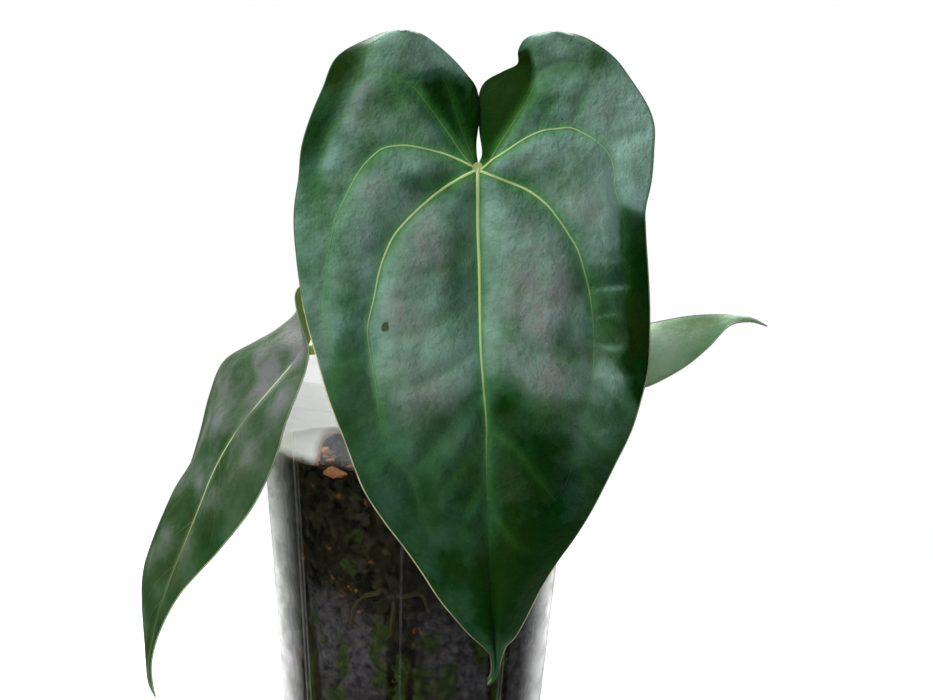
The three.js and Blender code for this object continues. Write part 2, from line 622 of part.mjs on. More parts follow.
const blades = {
  front: [frontRows(FRONT_LEFT_LOBE, -1), frontRows(FRONT_RIGHT_LOBE, 1)],
  left: [sideRows(LEFT_FAR, LEFT_JOINT, LEFT_FACE), sideRows(LEFT_NEAR, LEFT_JOINT, LEFT_FACE)],
  right: [
    sideRows(RIGHT_NEAR, RIGHT_JOINT, RIGHT_NEAR_FACE),
    sideRows(RIGHT_FAR, RIGHT_JOINT, RIGHT_FAR_FACE),
  ],
};
for (const [name, halves] of Object.entries(blades)) {
  const stalk = stalkGeometry(STALKS[name], stemBore, UNDERSIDES[name]);
  addPiece(`leaf_stalk_${name}`, stalk, material(COLOURS.stalk, 0.5));
  addPiece(`leaf_blade_${name}`, bladeGeometry(halves), material(COLOURS[name], 0.45));
}
for (const bit of bits) addPiece(bit.name, bit.shape, material(COLOURS[bit.kind], 0.9));

export default plant;
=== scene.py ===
import math

import bpy
import numpy as np
from mathutils import Matrix, Vector, noise
from mathutils.bvhtree import BVHTree


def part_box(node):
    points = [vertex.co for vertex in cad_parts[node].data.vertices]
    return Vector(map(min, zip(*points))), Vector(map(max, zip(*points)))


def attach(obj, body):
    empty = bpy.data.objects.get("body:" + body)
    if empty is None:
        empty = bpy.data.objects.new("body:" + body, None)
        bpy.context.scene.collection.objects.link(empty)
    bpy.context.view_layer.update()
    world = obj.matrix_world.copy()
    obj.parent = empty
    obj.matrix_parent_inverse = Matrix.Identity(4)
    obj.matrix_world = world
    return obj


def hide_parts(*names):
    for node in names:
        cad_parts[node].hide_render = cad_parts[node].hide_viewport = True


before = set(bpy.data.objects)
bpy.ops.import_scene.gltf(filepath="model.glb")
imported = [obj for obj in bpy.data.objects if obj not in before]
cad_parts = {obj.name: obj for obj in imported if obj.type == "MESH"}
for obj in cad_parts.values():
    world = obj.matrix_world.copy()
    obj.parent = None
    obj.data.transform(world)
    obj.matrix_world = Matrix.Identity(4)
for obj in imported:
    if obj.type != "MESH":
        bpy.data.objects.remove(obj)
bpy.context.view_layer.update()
MM = 0.001

# Pot: a tall, tapered nursery pot, injection-moulded in milky-clear polypropylene. It has a
# rolled lip, a ring and a stacking step under it, eight thin upright ribs, and a pair of
# narrow air slits at the foot of each rib. The body is turned; a node tree adds ribs and slits.
POT_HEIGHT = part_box("pot")[1].z
LIP_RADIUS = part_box("pot")[1].x
BASE_RADIUS = 52.5 * MM
TAPER = 0.09
WALL = 1.2 * MM
FLOOR = 1.8 * MM
FOOT_CHAMFER = 1.5 * MM
LIP_HEIGHT = 6.2 * MM
RING_DROP = 10.8 * MM
RING_PROUD = 0.5 * MM
STEP_DROP = 17.5 * MM
STEP_OUT = 0.7 * MM
STEP_RAMP = 0.8 * MM
RIB_COUNT = 8
FIRST_RIB = math.radians(-3.6)
RIB_WIDTH = 1.1 * MM
RIB_PROUD = 0.5 * MM
RIB_FOOT = 3 * MM
SLIT_WIDTH = 2.8 * MM
SLIT_BOTTOM = 5 * MM
SLIT_TOP = 34 * MM
SLIT_OFFSET = 3.4 * MM
SLIT_REACH = 12 * MM
POT_SIDES = 160


def linear(hex_colour):
    """An sRGB hex value as the linear colour that Blender's sockets take."""
    parts = [int(hex_colour[i:i + 2], 16) / 255 for i in (1, 3, 5)]
    return (*(p / 12.92 if p <= 0.04045 else ((p + 0.055) / 1.055) ** 2.4 for p in parts), 1)


def add(tree, kind, inputs=None, **settings):
    """Adds a node. inputs maps a socket's name or number to a value or to a node's output."""
    node = tree.nodes.new(kind)
    for key, value in settings.items():
        setattr(node, key, value)
    for key, value in (inputs or {}).items():
        if isinstance(value, bpy.types.NodeSocket):
            tree.links.new(value, node.inputs[key])
        else:
            node.inputs[key].default_value = value
    return node


def new_material(name):
    """An empty material with its output node; returns the material, its tree and the output."""
    made = bpy.data.materials.new(name)
    made.use_nodes = True
    made.node_tree.nodes.clear()
    return made, made.node_tree, made.node_tree.nodes.new("ShaderNodeOutputMaterial")


def new_tree(name, sockets):
    """A geometry node tree with one geometry in and out, and named inputs for its sizes."""
    tree = bpy.data.node_groups.new(name, "GeometryNodeTree")
    tree.interface.new_socket("Geometry", in_out="INPUT", socket_type="NodeSocketGeometry")
    for label, kind in sockets.items():
        tree.interface.new_socket(label, in_out="INPUT", socket_type="NodeSocket" + kind)
    tree.interface.new_socket("Geometry", in_out="OUTPUT", socket_type="NodeSocketGeometry")
    return tree, tree.nodes.new("NodeGroupInput"), tree.nodes.new("NodeGroupOutput")


def new_object(name, points, faces, edges=(), **attributes):
    """A mesh object at the origin, with float attributes on its points."""
    mesh = bpy.data.meshes.new(name)
    mesh.from_pydata([tuple(p) for p in points], list(edges), [tuple(map(int, f)) for f in faces])
    for label, values in attributes.items():
        mesh.attributes.new(label, "FLOAT", "POINT").data.foreach_set("value", values)
    made = bpy.data.objects.new(name, mesh)
    bpy.context.scene.collection.objects.link(made)
    return made


def grown(obj, tree, values):
    """Runs a geometry node tree on obj with the named input values, and keeps the plain mesh."""
    modifier = obj.modifiers.new(tree.name, "NODES")
    modifier.node_group = tree
    for item in tree.interface.items_tree:
        if item.in_out == "INPUT" and item.name in values:
            modifier[item.identifier] = values[item.name]
    bpy.context.view_layer.update()
    depsgraph = bpy.context.evaluated_depsgraph_get()
    mesh = bpy.data.meshes.new_from_object(obj.evaluated_get(depsgraph), depsgraph=depsgraph)
    obj.modifiers.clear()
    obj.data = mesh
    return obj


def smoothed(obj, sharp=40):
    """Smooth shading, with edges sharper than that many degrees kept crisp."""
    obj.data.shade_smooth()
    obj.data.set_sharp_from_angle(angle=math.radians(sharp))
    return obj


def carried(obj, slot, *nodes):
    """obj stands for those CAD nodes, which it hides, and rides on the one body. slot is not used."""
    if nodes:
        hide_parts(*nodes)
    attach(obj, "root")
    return obj


def turned(profile, sides):
    """Points and faces of a profile of (radius, height) pairs turned about +Z, ends on the axis."""
    ring = len(profile) - 2
    turns = np.arange(sides) * 2 * math.pi / sides
    points = [(0, 0, profile[0][1])]
    for radius, height in profile[1:-1]:
        points.extend((radius * math.sin(t), -radius * math.cos(t), height) for t in turns)
    points.append((0, 0, profile[-1][1]))
    faces = []
    for j in range(sides):
        k = (j + 1) % sides
        faces.append((0, 1 + k, 1 + j))
        for i in range(ring - 1):
            a, b = 1 + i * sides, 1 + (i + 1) * sides
            faces.append((a + j, a + k, b + k, b + j))
        last = 1 + (ring - 1) * sides
        faces.append((last + j, last + k, len(points) - 1))
    return points, faces


def arc(centre, radius, first, last, steps):
    """Points of an arc in a profile, from one angle to another in degrees."""
    angles = [math.radians(first + (last - first) * i / steps) for i in range(steps + 1)]
    return [(centre[0] + radius * math.cos(a), centre[1] + radius * math.sin(a)) for a in angles]


def wall_radius(height):
    """Outer radius of the pot's wall at a height."""
    return BASE_RADIUS + TAPER * height


def pot_profile():
    step = POT_HEIGHT - STEP_DROP
    ring = POT_HEIGHT - RING_DROP
    lip = POT_HEIGHT - LIP_HEIGHT
    round_lip = 1.1 * MM
    lip_out = wall_radius(lip) + STEP_OUT
    return [
        (0, 0),
        (BASE_RADIUS - FOOT_CHAMFER - 1 * MM, 0),
        *arc((BASE_RADIUS - FOOT_CHAMFER, FOOT_CHAMFER), FOOT_CHAMFER, -90, -5, 5),
        *((wall_radius(h * MM), h * MM) for h in range(6, 128, 12)),
        (wall_radius(step), step),
        (wall_radius(step) + STEP_OUT * 0.8, step + STEP_RAMP * 0.6),
        (wall_radius(step) + STEP_OUT, step + STEP_RAMP),
        (wall_radius(ring) + STEP_OUT, ring - STEP_RAMP),
        (wall_radius(ring) + STEP_OUT + RING_PROUD, ring - STEP_RAMP / 3),
        (wall_radius(ring) + STEP_OUT + RING_PROUD, ring + STEP_RAMP / 3),
        (wall_radius(ring) + STEP_OUT, ring + STEP_RAMP),
        (lip_out, lip - STEP_RAMP),
        *arc((LIP_RADIUS - round_lip, lip + round_lip), round_lip, -80, 0, 4),
        *arc((LIP_RADIUS - round_lip, POT_HEIGHT - round_lip), round_lip, 0, 90, 5),
        *arc((wall_radius(POT_HEIGHT) - WALL + 0.5 * MM, POT_HEIGHT - 0.5 * MM), 0.5 * MM, 90, 180, 3),
        *((wall_radius(h * MM) - WALL, h * MM) for h in range(140, 5, -15)),
        (wall_radius(FLOOR + 1 * MM) - WALL, FLOOR + 1 * MM),
        (wall_radius(FLOOR) - WALL - 1 * MM, FLOOR),
        (0, FLOOR),
    ]


def rib_and_slit_tree():
    tree, given, result = new_tree("ribs_and_slits", {
        "Count": "Int", "First angle": "Float", "Rib size": "Vector", "Rib place": "Vector",
        "Rib lean": "Float", "Slit size": "Vector", "Slit place": "Vector", "Slit offset": "Float",
        "Material": "Material"})
    step = add(tree, "ShaderNodeMath", {0: math.tau, 1: given.outputs["Count"]}, operation="DIVIDE")
    turn = add(tree, "ShaderNodeMath", {
        0: add(tree, "GeometryNodeInputIndex").outputs[0], 1: step.outputs[0],
        2: given.outputs["First angle"]}, operation="MULTIPLY_ADD")
    about = add(tree, "FunctionNodeEulerToRotation", {
        0: add(tree, "ShaderNodeCombineXYZ", {2: turn.outputs[0]}).outputs[0]})
    places = add(tree, "GeometryNodePoints", {"Count": given.outputs["Count"]})

    def round_the_pot(geometry):
        placed = add(tree, "GeometryNodeInstanceOnPoints", {
            "Points": places.outputs[0], "Instance": geometry, "Rotation": about.outputs[0]})
        return add(tree, "GeometryNodeRealizeInstances", {0: placed.outputs[0]}).outputs[0]

    lean = add(tree, "FunctionNodeEulerToRotation", {
        0: add(tree, "ShaderNodeCombineXYZ", {0: given.outputs["Rib lean"]}).outputs[0]})
    rib = add(tree, "GeometryNodeTransform", {
        0: add(tree, "GeometryNodeMeshCube", {0: given.outputs["Rib size"]}).outputs[0],
        "Translation": given.outputs["Rib place"], "Rotation": lean.outputs[0]})
    slit = add(tree, "GeometryNodeTransform", {
        0: add(tree, "GeometryNodeMeshCube", {0: given.outputs["Slit size"]}).outputs[0],
        "Translation": given.outputs["Slit place"]})
    pair = add(tree, "GeometryNodeJoinGeometry")
    for side in (-1, 1):
        aside = add(tree, "ShaderNodeMath", {0: given.outputs["Slit offset"], 1: side},
                    operation="MULTIPLY")
        moved = add(tree, "GeometryNodeTransform", {
            0: slit.outputs[0],
            "Translation": add(tree, "ShaderNodeCombineXYZ", {0: aside.outputs[0]}).outputs[0]})
        tree.links.new(moved.outputs[0], pair.inputs[0])
    ribbed = add(tree, "GeometryNodeMeshBoolean", operation="UNION", solver="MANIFOLD")
    tree.links.new(given.outputs["Geometry"], ribbed.inputs[1])
    tree.links.new(round_the_pot(rib.outputs[0]), ribbed.inputs[1])
    slotted = add(tree, "GeometryNodeMeshBoolean", {0: ribbed.outputs[0]},
                  operation="DIFFERENCE", solver="MANIFOLD")
    tree.links.new(round_the_pot(pair.outputs[0]), slotted.inputs[1])
    finished = add(tree, "GeometryNodeSetMaterial", {
        0: slotted.outputs[0], "Material": given.outputs["Material"]})
    tree.links.new(finished.outputs[0], result.inputs[0])
    return tree


def milky_polypropylene(mix_line):
    """Polypropylene, moulded in a polished tool: nearly clear where damp mix lies against it,
    milky where it is seen at a slant, and clouded by dried lime above the mix, thickest at the
    mix line. The ribs are thicker and so whiter. It has a few specks of dirt."""
    made, tree, output = new_material("milky_polypropylene")
    place = add(tree, "ShaderNodeTexCoord").outputs["Object"]
    x, y, height = add(tree, "ShaderNodeSeparateXYZ", {0: place}).outputs
    outwards = add(tree, "ShaderNodeVectorMath", {0: place, 1: (1, 1, 0)}, operation="MULTIPLY")
    wall_faces = add(tree, "ShaderNodeVectorMath", {0: outwards.outputs[0]}, operation="NORMALIZE")
    slant = add(tree, "ShaderNodeLayerWeight", {
        "Blend": 0.5, "Normal": wall_faces.outputs[0]}).outputs["Facing"]
    milk = add(tree, "ShaderNodeMapRange", {0: slant, 1: 0.42, 2: 0.95, 3: 0.002, 4: 0.8},
               interpolation_type="SMOOTHSTEP").outputs[0]
    clouds = add(tree, "ShaderNodeTexNoise", {"Vector": place, "Scale": 55, "Detail": 6}).outputs[0]
    stretched = add(tree, "ShaderNodeMapping", {"Vector": place, "Scale": (0.5, 0.5, 1)})
    stains = add(tree, "ShaderNodeTexNoise", {"Vector": stretched.outputs[0], "Scale": 130, "Detail": 6})
    patchy = add(tree, "ShaderNodeMapRange", {0: stains.outputs[0], 1: 0.4, 2: 0.6, 3: 0.65, 4: 1.15})
    milk = add(tree, "ShaderNodeMath", {0: milk, 1: patchy.outputs[0]}, operation="MULTIPLY").outputs[0]
    uneven = add(tree, "ShaderNodeMath", {0: clouds, 1: 9 * MM, 2: height}, operation="MULTIPLY_ADD")
    lime = add(tree, "ShaderNodeMapRange", {
        0: uneven.outputs[0], 1: mix_line + 4 * MM, 2: mix_line + 9 * MM, 3: 0.0, 4: 0.88},
        interpolation_type="SMOOTHSTEP")
    thinning = add(tree, "ShaderNodeMapRange", {
        0: height, 1: mix_line + 8 * MM, 2: mix_line + 18 * MM, 3: 1.0, 4: 0.24})
    lime = add(tree, "ShaderNodeMath", {0: lime.outputs[0], 1: thinning.outputs[0]},
               operation="MULTIPLY").outputs[0]
    wiped = add(tree, "ShaderNodeVectorMath", {0: place, 1: (-0.029, -0.056, 0.1195)},
                operation="DISTANCE")
    clear = add(tree, "ShaderNodeMapRange", {
        0: wiped.outputs["Value"], 1: 9 * MM, 2: 13 * MM, 3: 0.1, 4: 1.0})
    lime = add(tree, "ShaderNodeMath", {0: lime, 1: clear.outputs[0]}, operation="MULTIPLY").outputs[0]
    forward = add(tree, "ShaderNodeMath", {0: y, 1: -1}, operation="MULTIPLY")
    angle = add(tree, "ShaderNodeMath", {0: x, 1: forward.outputs[0]}, operation="ARCTAN2")
    from_rib = add(tree, "ShaderNodeMath", {
        0: angle.outputs[0], 1: FIRST_RIB - math.pi / RIB_COUNT}, operation="SUBTRACT")
    turn = add(tree, "ShaderNodeMath", {0: from_rib.outputs[0], 1: math.tau / RIB_COUNT},
               operation="FLOORED_MODULO")
    aside = add(tree, "ShaderNodeMath", {0: turn.outputs[0], 1: math.pi / RIB_COUNT},
                operation="SUBTRACT")
    off_rib = add(tree, "ShaderNodeMath", {0: aside.outputs[0]}, operation="ABSOLUTE")
    rib = add(tree, "ShaderNodeMapRange", {
        0: off_rib.outputs[0], 1: 0.5 * RIB_WIDTH / BASE_RADIUS, 2: 0.35 * RIB_WIDTH / BASE_RADIUS,
        3: 0.0, 4: 1.0})
    thick = add(tree, "ShaderNodeMapRange", {0: slant, 1: 0.12, 2: 0.6, 3: 0.015, 4: 0.13})
    rib = add(tree, "ShaderNodeMath", {0: rib.outputs[0], 1: thick.outputs[0]}, operation="MULTIPLY")
    below_step = add(tree, "ShaderNodeMath", {0: height, 1: POT_HEIGHT - STEP_DROP - RIB_FOOT},
                     operation="LESS_THAN")
    rib = add(tree, "ShaderNodeMath", {0: rib.outputs[0], 1: below_step.outputs[0]},
              operation="MULTIPLY").outputs[0]
    opaque = add(tree, "ShaderNodeMath", {0: milk, 1: lime}, operation="MAXIMUM").outputs[0]
    opaque = add(tree, "ShaderNodeMath", {0: opaque, 1: rib}, operation="ADD", use_clamp=True).outputs[0]
    cells = add(tree, "ShaderNodeTexVoronoi", {"Vector": place, "Scale": 110})
    rare = add(tree, "ShaderNodeSeparateColor", {0: cells.outputs["Color"]}).outputs[0]
    speck_size = add(tree, "ShaderNodeMapRange", {0: rare, 1: 0.93, 2: 1.0, 3: 0.0, 4: 0.09})
    speck = add(tree, "ShaderNodeMath", {0: cells.outputs["Distance"], 1: speck_size.outputs[0]},
                operation="LESS_THAN").outputs[0]
    colour = add(tree, "ShaderNodeMix", {0: speck, 6: linear("#f3f2fa"), 7: linear("#1c1714")},
                 data_type="RGBA")
    alpha = add(tree, "ShaderNodeMath", {0: opaque, 1: speck}, operation="MAXIMUM")
    plastic = add(tree, "ShaderNodeBsdfPrincipled", {
        "Base Color": colour.outputs[2], "Roughness": 0.3, "IOR": 1.49,
        "Subsurface Weight": 1.0, "Subsurface Radius": (1, 1, 1), "Subsurface Scale": 4 * MM,
        "Alpha": alpha.outputs[0]})
    tree.links.new(plastic.outputs[0], output.inputs[0])
    return made


MIX_HEIGHT = 115 * MM
rib_length = POT_HEIGHT - STEP_DROP - 2 * RIB_FOOT
rib_middle = RIB_FOOT + rib_length / 2
pot = new_object("nursery_pot", *turned(pot_profile(), POT_SIDES))
grown(pot, rib_and_slit_tree(), {
    "Count": RIB_COUNT, "First angle": FIRST_RIB,
    "Rib size": (RIB_WIDTH, RIB_PROUD * 2, rib_length),
    "Rib place": (0, -wall_radius(rib_middle), rib_middle), "Rib lean": math.atan(TAPER),
    "Slit size": (SLIT_WIDTH, SLIT_REACH, SLIT_TOP - SLIT_BOTTOM),
    "Slit place": (0, -BASE_RADIUS, (SLIT_TOP + SLIT_BOTTOM) / 2), "Slit offset": SLIT_OFFSET,
    "Material": milky_polypropylene(MIX_HEIGHT)})
smoothed(pot, 30)
carried(pot, "pot", "pot")

# Thick roots and short stem: fleshy roots leave the stem's foot, reach the wall and run along
# it, where they show as pale lines. Grown tissue, so round, slightly uneven and dull. A node
# tree sweeps a round section along each root's line.
ROOT_RADIUS = 1.05 * MM
MIX_GAP = 0.35 * MM
ROOT_SINK = 1.15 * MM
STEM_RADIUS = 7 * MM
STEM_FOOT = 70 * MM
STEM_TOP = 131 * MM
SCAR_STEP = 5 * MM
ROOTS = [
    (96, [(-12, 68), (-19, 64.5), (-24, 58), (-25.5, 45)]),
    (88, [(-5, 66), (3.5, 66.5), (6.5, 62), (9.5, 54)]),
    (80, [(-6.5, 63), (-7.5, 52), (-7, 45)]),
    (98, [(52, 84), (60, 76), (66, 62), (64, 44)]),
    (84, [(98, 58), (104, 50), (101, 34), (96, 22)]),
    (94, [(150, 78), (158, 72), (163, 60), (160, 42)]),
    (78, [(197, 50), (205, 44), (214, 40), (220, 30)]),
    (90, [(262, 90), (270, 84), (281, 80), (288, 66)]),
]


def on_circle(radius, angle, height):
    """A point at a height on a circle, with the angle in degrees from the front towards +X."""
    turn = math.radians(angle)
    return np.array([radius * math.sin(turn), -radius * math.cos(turn), height])


def smooth_line(points, spacing):
    """Points every spacing along a Catmull-Rom curve through the given points."""
    points = np.array(points, float)
    padded = np.vstack([2 * points[0] - points[1], points, 2 * points[-1] - points[-2]])
    line = []
    for a, b, c, d in zip(padded, padded[1:], padded[2:], padded[3:]):
        steps = max(2, int(np.linalg.norm(c - b) / spacing))
        for t in np.arange(steps) / steps:
            line.append(b + 0.5 * t * (c - a + t * (2 * a - 5 * b + 4 * c - d + t * (3 * (b - c) + d - a))))
    line.append(points[-1])
    return np.array(line)


def sweep_tree(name, sides):
    """Sweeps a round section along lines; each point's radius is in the attribute thick."""
    tree, given, result = new_tree(name, {"Material": "Material"})
    lines = add(tree, "GeometryNodeMeshToCurve", {0: given.outputs["Geometry"]})
    section = add(tree, "GeometryNodeCurvePrimitiveCircle", {"Resolution": sides, "Radius": 1.0})
    thick = add(tree, "GeometryNodeInputNamedAttribute", {"Name": "thick"})
    swept = add(tree, "GeometryNodeCurveToMesh", {
        0: lines.outputs[0], 1: section.outputs[0], "Scale": thick.outputs[0], "Fill Caps": True})
    smooth = add(tree, "GeometryNodeSetShadeSmooth", {0: swept.outputs[0]})
    finished = add(tree, "GeometryNodeSetMaterial", {
        0: smooth.outputs[0], "Material": given.outputs["Material"]})
    tree.links.new(finished.outputs[0], result.inputs[0])
    return tree


def swept(name, lines, radii, tree, surface, **attributes):
    """Round rods along several lines of points; radii and attributes hold one list for each."""
    points = np.vstack(lines)
    starts = np.cumsum([0] + [len(line) for line in lines])
    edges = [(k, k + 1) for a, b in zip(starts, starts[1:]) for k in range(a, b - 1)]
    packed = {label: np.concatenate(lists) for label, lists in attributes.items()}
    made = new_object(name, points, (), edges, thick=np.concatenate(radii), **packed)
    return grown(made, tree, {"Material": surface})


def fleshy_root():
    """Living aroid root: a dull, pale olive skin with ochre blotches and fine wrinkles."""
    made, tree, output = new_material("fleshy_root")
    place = add(tree, "ShaderNodeTexCoord").outputs["Object"]
    blotch = add(tree, "ShaderNodeTexNoise", {"Vector": place, "Scale": 140, "Detail": 4})
    colour = add(tree, "ShaderNodeMix", {
        0: blotch.outputs[0], 6: linear("#100f08"), 7: linear("#423c20")}, data_type="RGBA")
    wrinkle = add(tree, "ShaderNodeTexNoise", {"Vector": place, "Scale": 900, "Detail": 3})
    relief = add(tree, "ShaderNodeBump", {"Strength": 0.4, "Distance": 0.0003,
                                          "Height": wrinkle.outputs[0]})
    skin = add(tree, "ShaderNodeBsdfPrincipled", {
        "Base Color": colour.outputs[2], "Roughness": 0.6, "Specular IOR Level": 0.08,
        "Normal": relief.outputs[0]})
    tree.links.new(skin.outputs[0], output.inputs[0])
    return made


root_lines = []
root_radii = []
root_wall_runs = []
for leave, wall in ROOTS:
    inset = WALL + MIX_GAP + ROOT_SINK
    along = [on_circle(wall_radius(h * MM) - inset, a, h * MM) for a, h in wall]
    angle, height = wall[0]
    route = [on_circle(2 * MM, angle, leave * MM), on_circle(16 * MM, angle + 8, (leave + 2) * MM),
             on_circle(34 * MM, angle - 6, (leave + height) / 2 * MM), *along]
    line = smooth_line(route, 1.5 * MM)
    share = np.linspace(0, 1, len(line))
    root_lines.append(line)
    root_radii.append(ROOT_RADIUS * np.interp(share, [0, 0.4, 0.93, 1], [1.4, 1.0, 0.85, 0.3]))
    root_wall_runs.append(smooth_line(along, 1.5 * MM))
scars = []
scar_height = STEM_TOP - 4 * SCAR_STEP
while scar_height < STEM_TOP - 4 * MM:
    scars += [(STEM_RADIUS - 0.5 * MM, scar_height), (STEM_RADIUS, scar_height + 1.5 * MM)]
    scar_height += SCAR_STEP
stem_profile = [
    (0, STEM_FOOT), (STEM_RADIUS - 3 * MM, STEM_FOOT),
    (STEM_RADIUS - 1.5 * MM, STEM_TOP - 5 * SCAR_STEP), *scars,
    (STEM_RADIUS - 1.2 * MM, STEM_TOP), (2 * MM, STEM_TOP + 6 * MM), (0, STEM_TOP + 9 * MM)]
root_skin = fleshy_root()
roots = swept("thick_roots", root_lines, root_radii, sweep_tree("round_rods", 10), root_skin)
stem = smoothed(new_object("stem", *turned(stem_profile, 36)), 60)
stem.data.materials.append(root_skin)
carried(roots, "stem_and_roots", "stem_with_roots")
carried(stem, "stem_and_roots", "stem_with_roots")

# Potting mix: damp composted bark and fibre, pressed against the wall, with moss and algae
# where light reaches it, worst at the slits. Its side is pushed in between the pieces of bark
# and beside the roots; its top is a low mound.
MIX_MOUND = 4 * MM
MIX_LUMPS = 1.3 * MM
PIECE_SIZE = 6.5 * MM
MIX_SIDES = 300
# Moss on the wall: angle from the front, height, half width in degrees, half height
MOSS = [
    (-58, 50, 4, 8), (-43, 52, 4, 4), (-38, 44, 2.5, 3), (-30, 41, 2.5, 5), (-30, 33, 2, 3),
    (-11, 51, 5, 5), (-14.5, 42, 2.5, 6), (-12, 33, 3, 6), (-60, 26, 2.5, 7), (8, 46, 5, 4),
    (5, 30, 4, 8), (16, 28, 5, 9), (-21, 88, 3, 3), (-34, 96, 3, 2), (-26, 76, 4, 3),
    (-33, 22, 6, 6), (30, 44, 5, 6), (75, 60, 9, 8), (120, 30, 7, 12), (170, 44, 8, 8),
    (215, 70, 8, 6), (250, 40, 9, 9),
]
# Grey, drier patches and black, wet ones: angle, height, half width, half height, strength
HAZE = [
    (-70, 60, 22, 60, 0.5), (-20, 42, 9, 13, 0.35), (-38, 58, 9, 10, 0.3), (22, 35, 12, 20, 0.35),
    (-30, 88, 13, 18, -0.55), (-12, 78, 12, 20, -0.45), (75, 50, 30, 60, 0.4), (-52, 96, 7, 20, 0.25),
    (-2, 30, 6, 12, -0.3), (-38, 38, 8, 8, 0.15), (150, 60, 30, 40, 0.2), (230, 50, 30, 30, 0.25),
]


def ramp(low, high, value):
    """Smooth step from 0 at low to 1 at high."""
    t = np.clip((value - low) / (high - low), 0, 1)
    return t * t * (3 - 2 * t)


def mix_height(radius, turn):
    """Height of the mix's top, in metres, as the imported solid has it."""
    edge = wall_radius(MIX_HEIGHT) - WALL
    bumps = math.sin(radius / MM * 0.34 + 3 * turn) + math.sin(5 * turn - radius / MM * 0.21 + 1)
    away = min(max((radius - STEM_RADIUS) / (12 * MM), 0), 1)
    return MIX_HEIGHT + MIX_MOUND * (1 - (radius / edge) ** 2) + MIX_LUMPS * 0.5 * bumps * away


def bare_chip(angle, height):
    """How far the mix stands back from the wall, 0 to 1, where the first bark chip lies bare."""
    return math.exp(-((angle + 32.5) / 6.5) ** 4 - ((height / MM - 113.5) / 3.4) ** 4)


def damp_mix():
    """Composted bark: brown-black pieces with grey dust, orange flecks and moss between them, with
    shade painted darker into the crevices.
    """
    made, tree, output = new_material("damp_bark_mix")
    place = add(tree, "ShaderNodeTexCoord").outputs["Object"]
    moss = add(tree, "ShaderNodeAttribute", attribute_name="moss").outputs["Fac"]
    haze = add(tree, "ShaderNodeAttribute", attribute_name="haze").outputs["Fac"]
    crevice = add(tree, "ShaderNodeAttribute", attribute_name="crevice").outputs["Fac"]
    warped = add(tree, "ShaderNodeTexNoise", {"Vector": place, "Scale": 120, "Detail": 3})
    lump = add(tree, "ShaderNodeMix", {0: 0.03, 4: place, 5: warped.outputs["Color"]},
               data_type="VECTOR")
    cells = add(tree, "ShaderNodeTexVoronoi", {"Vector": lump.outputs[1], "Scale": 1 / PIECE_SIZE})
    tint = add(tree, "ShaderNodeSeparateColor", {0: cells.outputs["Color"]})
    brown = add(tree, "ShaderNodeMix", {
        0: tint.outputs[0], 6: linear("#0b0c05"), 7: linear("#2a271a")}, data_type="RGBA")
    fine = add(tree, "ShaderNodeTexNoise", {"Vector": place, "Scale": 330, "Detail": 7,
                                            "Roughness": 0.72})
    cloud = add(tree, "ShaderNodeTexNoise", {"Vector": place, "Scale": 130, "Detail": 7, "Roughness": 0.6})
    dusty = add(tree, "ShaderNodeMath", {0: cloud.outputs[0], 1: haze}, operation="ADD")
    dust = add(tree, "ShaderNodeMapRange", {0: dusty.outputs[0], 1: 0.6, 2: 1.2, 3: 0.0, 4: 0.85})
    grey = add(tree, "ShaderNodeMix", {
        0: dust.outputs[0], 6: brown.outputs[2], 7: linear("#454347")}, data_type="RGBA")
    chips = add(tree, "ShaderNodeTexVoronoi", {"Vector": lump.outputs[1], "Scale": 2.4 / PIECE_SIZE})
    chip_tint = add(tree, "ShaderNodeSeparateColor", {0: chips.outputs["Color"]})
    flecked = add(tree, "ShaderNodeMapRange", {0: chip_tint.outputs[1], 1: 0.984, 2: 0.986, 3: 0.0, 4: 1.0})
    fleck_grain = add(tree, "ShaderNodeMapRange", {0: fine.outputs[0], 1: 0.47, 2: 0.55, 3: 0.0, 4: 0.9})
    fleck = add(tree, "ShaderNodeMath", {0: flecked.outputs[0], 1: fleck_grain.outputs[0]},
                operation="MULTIPLY")
    warm = add(tree, "ShaderNodeMix", {0: fleck.outputs[0], 6: grey.outputs[2],
                                       7: linear("#75401f")}, data_type="RGBA")
    ragged = add(tree, "ShaderNodeMath", {0: moss, 1: fine.outputs[0]}, operation="ADD")
    tufts = add(tree, "ShaderNodeMapRange", {0: cloud.outputs[0], 1: 0.4, 2: 0.58, 3: -0.35, 4: 0.35})
    ragged = add(tree, "ShaderNodeMath", {0: ragged.outputs[0], 1: tufts.outputs[0]}, operation="ADD")
    green = add(tree, "ShaderNodeMapRange", {0: ragged.outputs[0], 1: 0.84, 2: 1.1, 3: 0.0, 4: 0.9})
    mossy = add(tree, "ShaderNodeMix", {0: green.outputs[0], 6: warm.outputs[2],
                                        7: linear("#2b3713")}, data_type="RGBA")
    grain = add(tree, "ShaderNodeMapRange", {0: fine.outputs[0], 1: 0.35, 2: 0.65, 3: 0.35, 4: 1.5})
    # Painted shade: the mix is darker in its crevices, beside the roots and in the open slits.
    deep = add(tree, "ShaderNodeMapRange", {0: crevice, 1: 0.0, 2: 1.0, 3: 1.0, 4: 0.6})
    value = add(tree, "ShaderNodeMath", {0: grain.outputs[0], 1: deep.outputs[0]}, operation="MULTIPLY")
    shaded = add(tree, "ShaderNodeHueSaturation", {"Value": value.outputs[0], "Color": mossy.outputs[2]})
    relief = add(tree, "ShaderNodeBump", {"Strength": 0.7, "Distance": 0.0006,
                                          "Height": fine.outputs[0]})
    earth = add(tree, "ShaderNodeBsdfPrincipled", {
        "Base Color": shaded.outputs[0], "Roughness": 0.8, "Specular IOR Level": 0.03,
        "Normal": relief.outputs[0]})
    tree.links.new(earth.outputs[0], output.inputs[0])
    return made


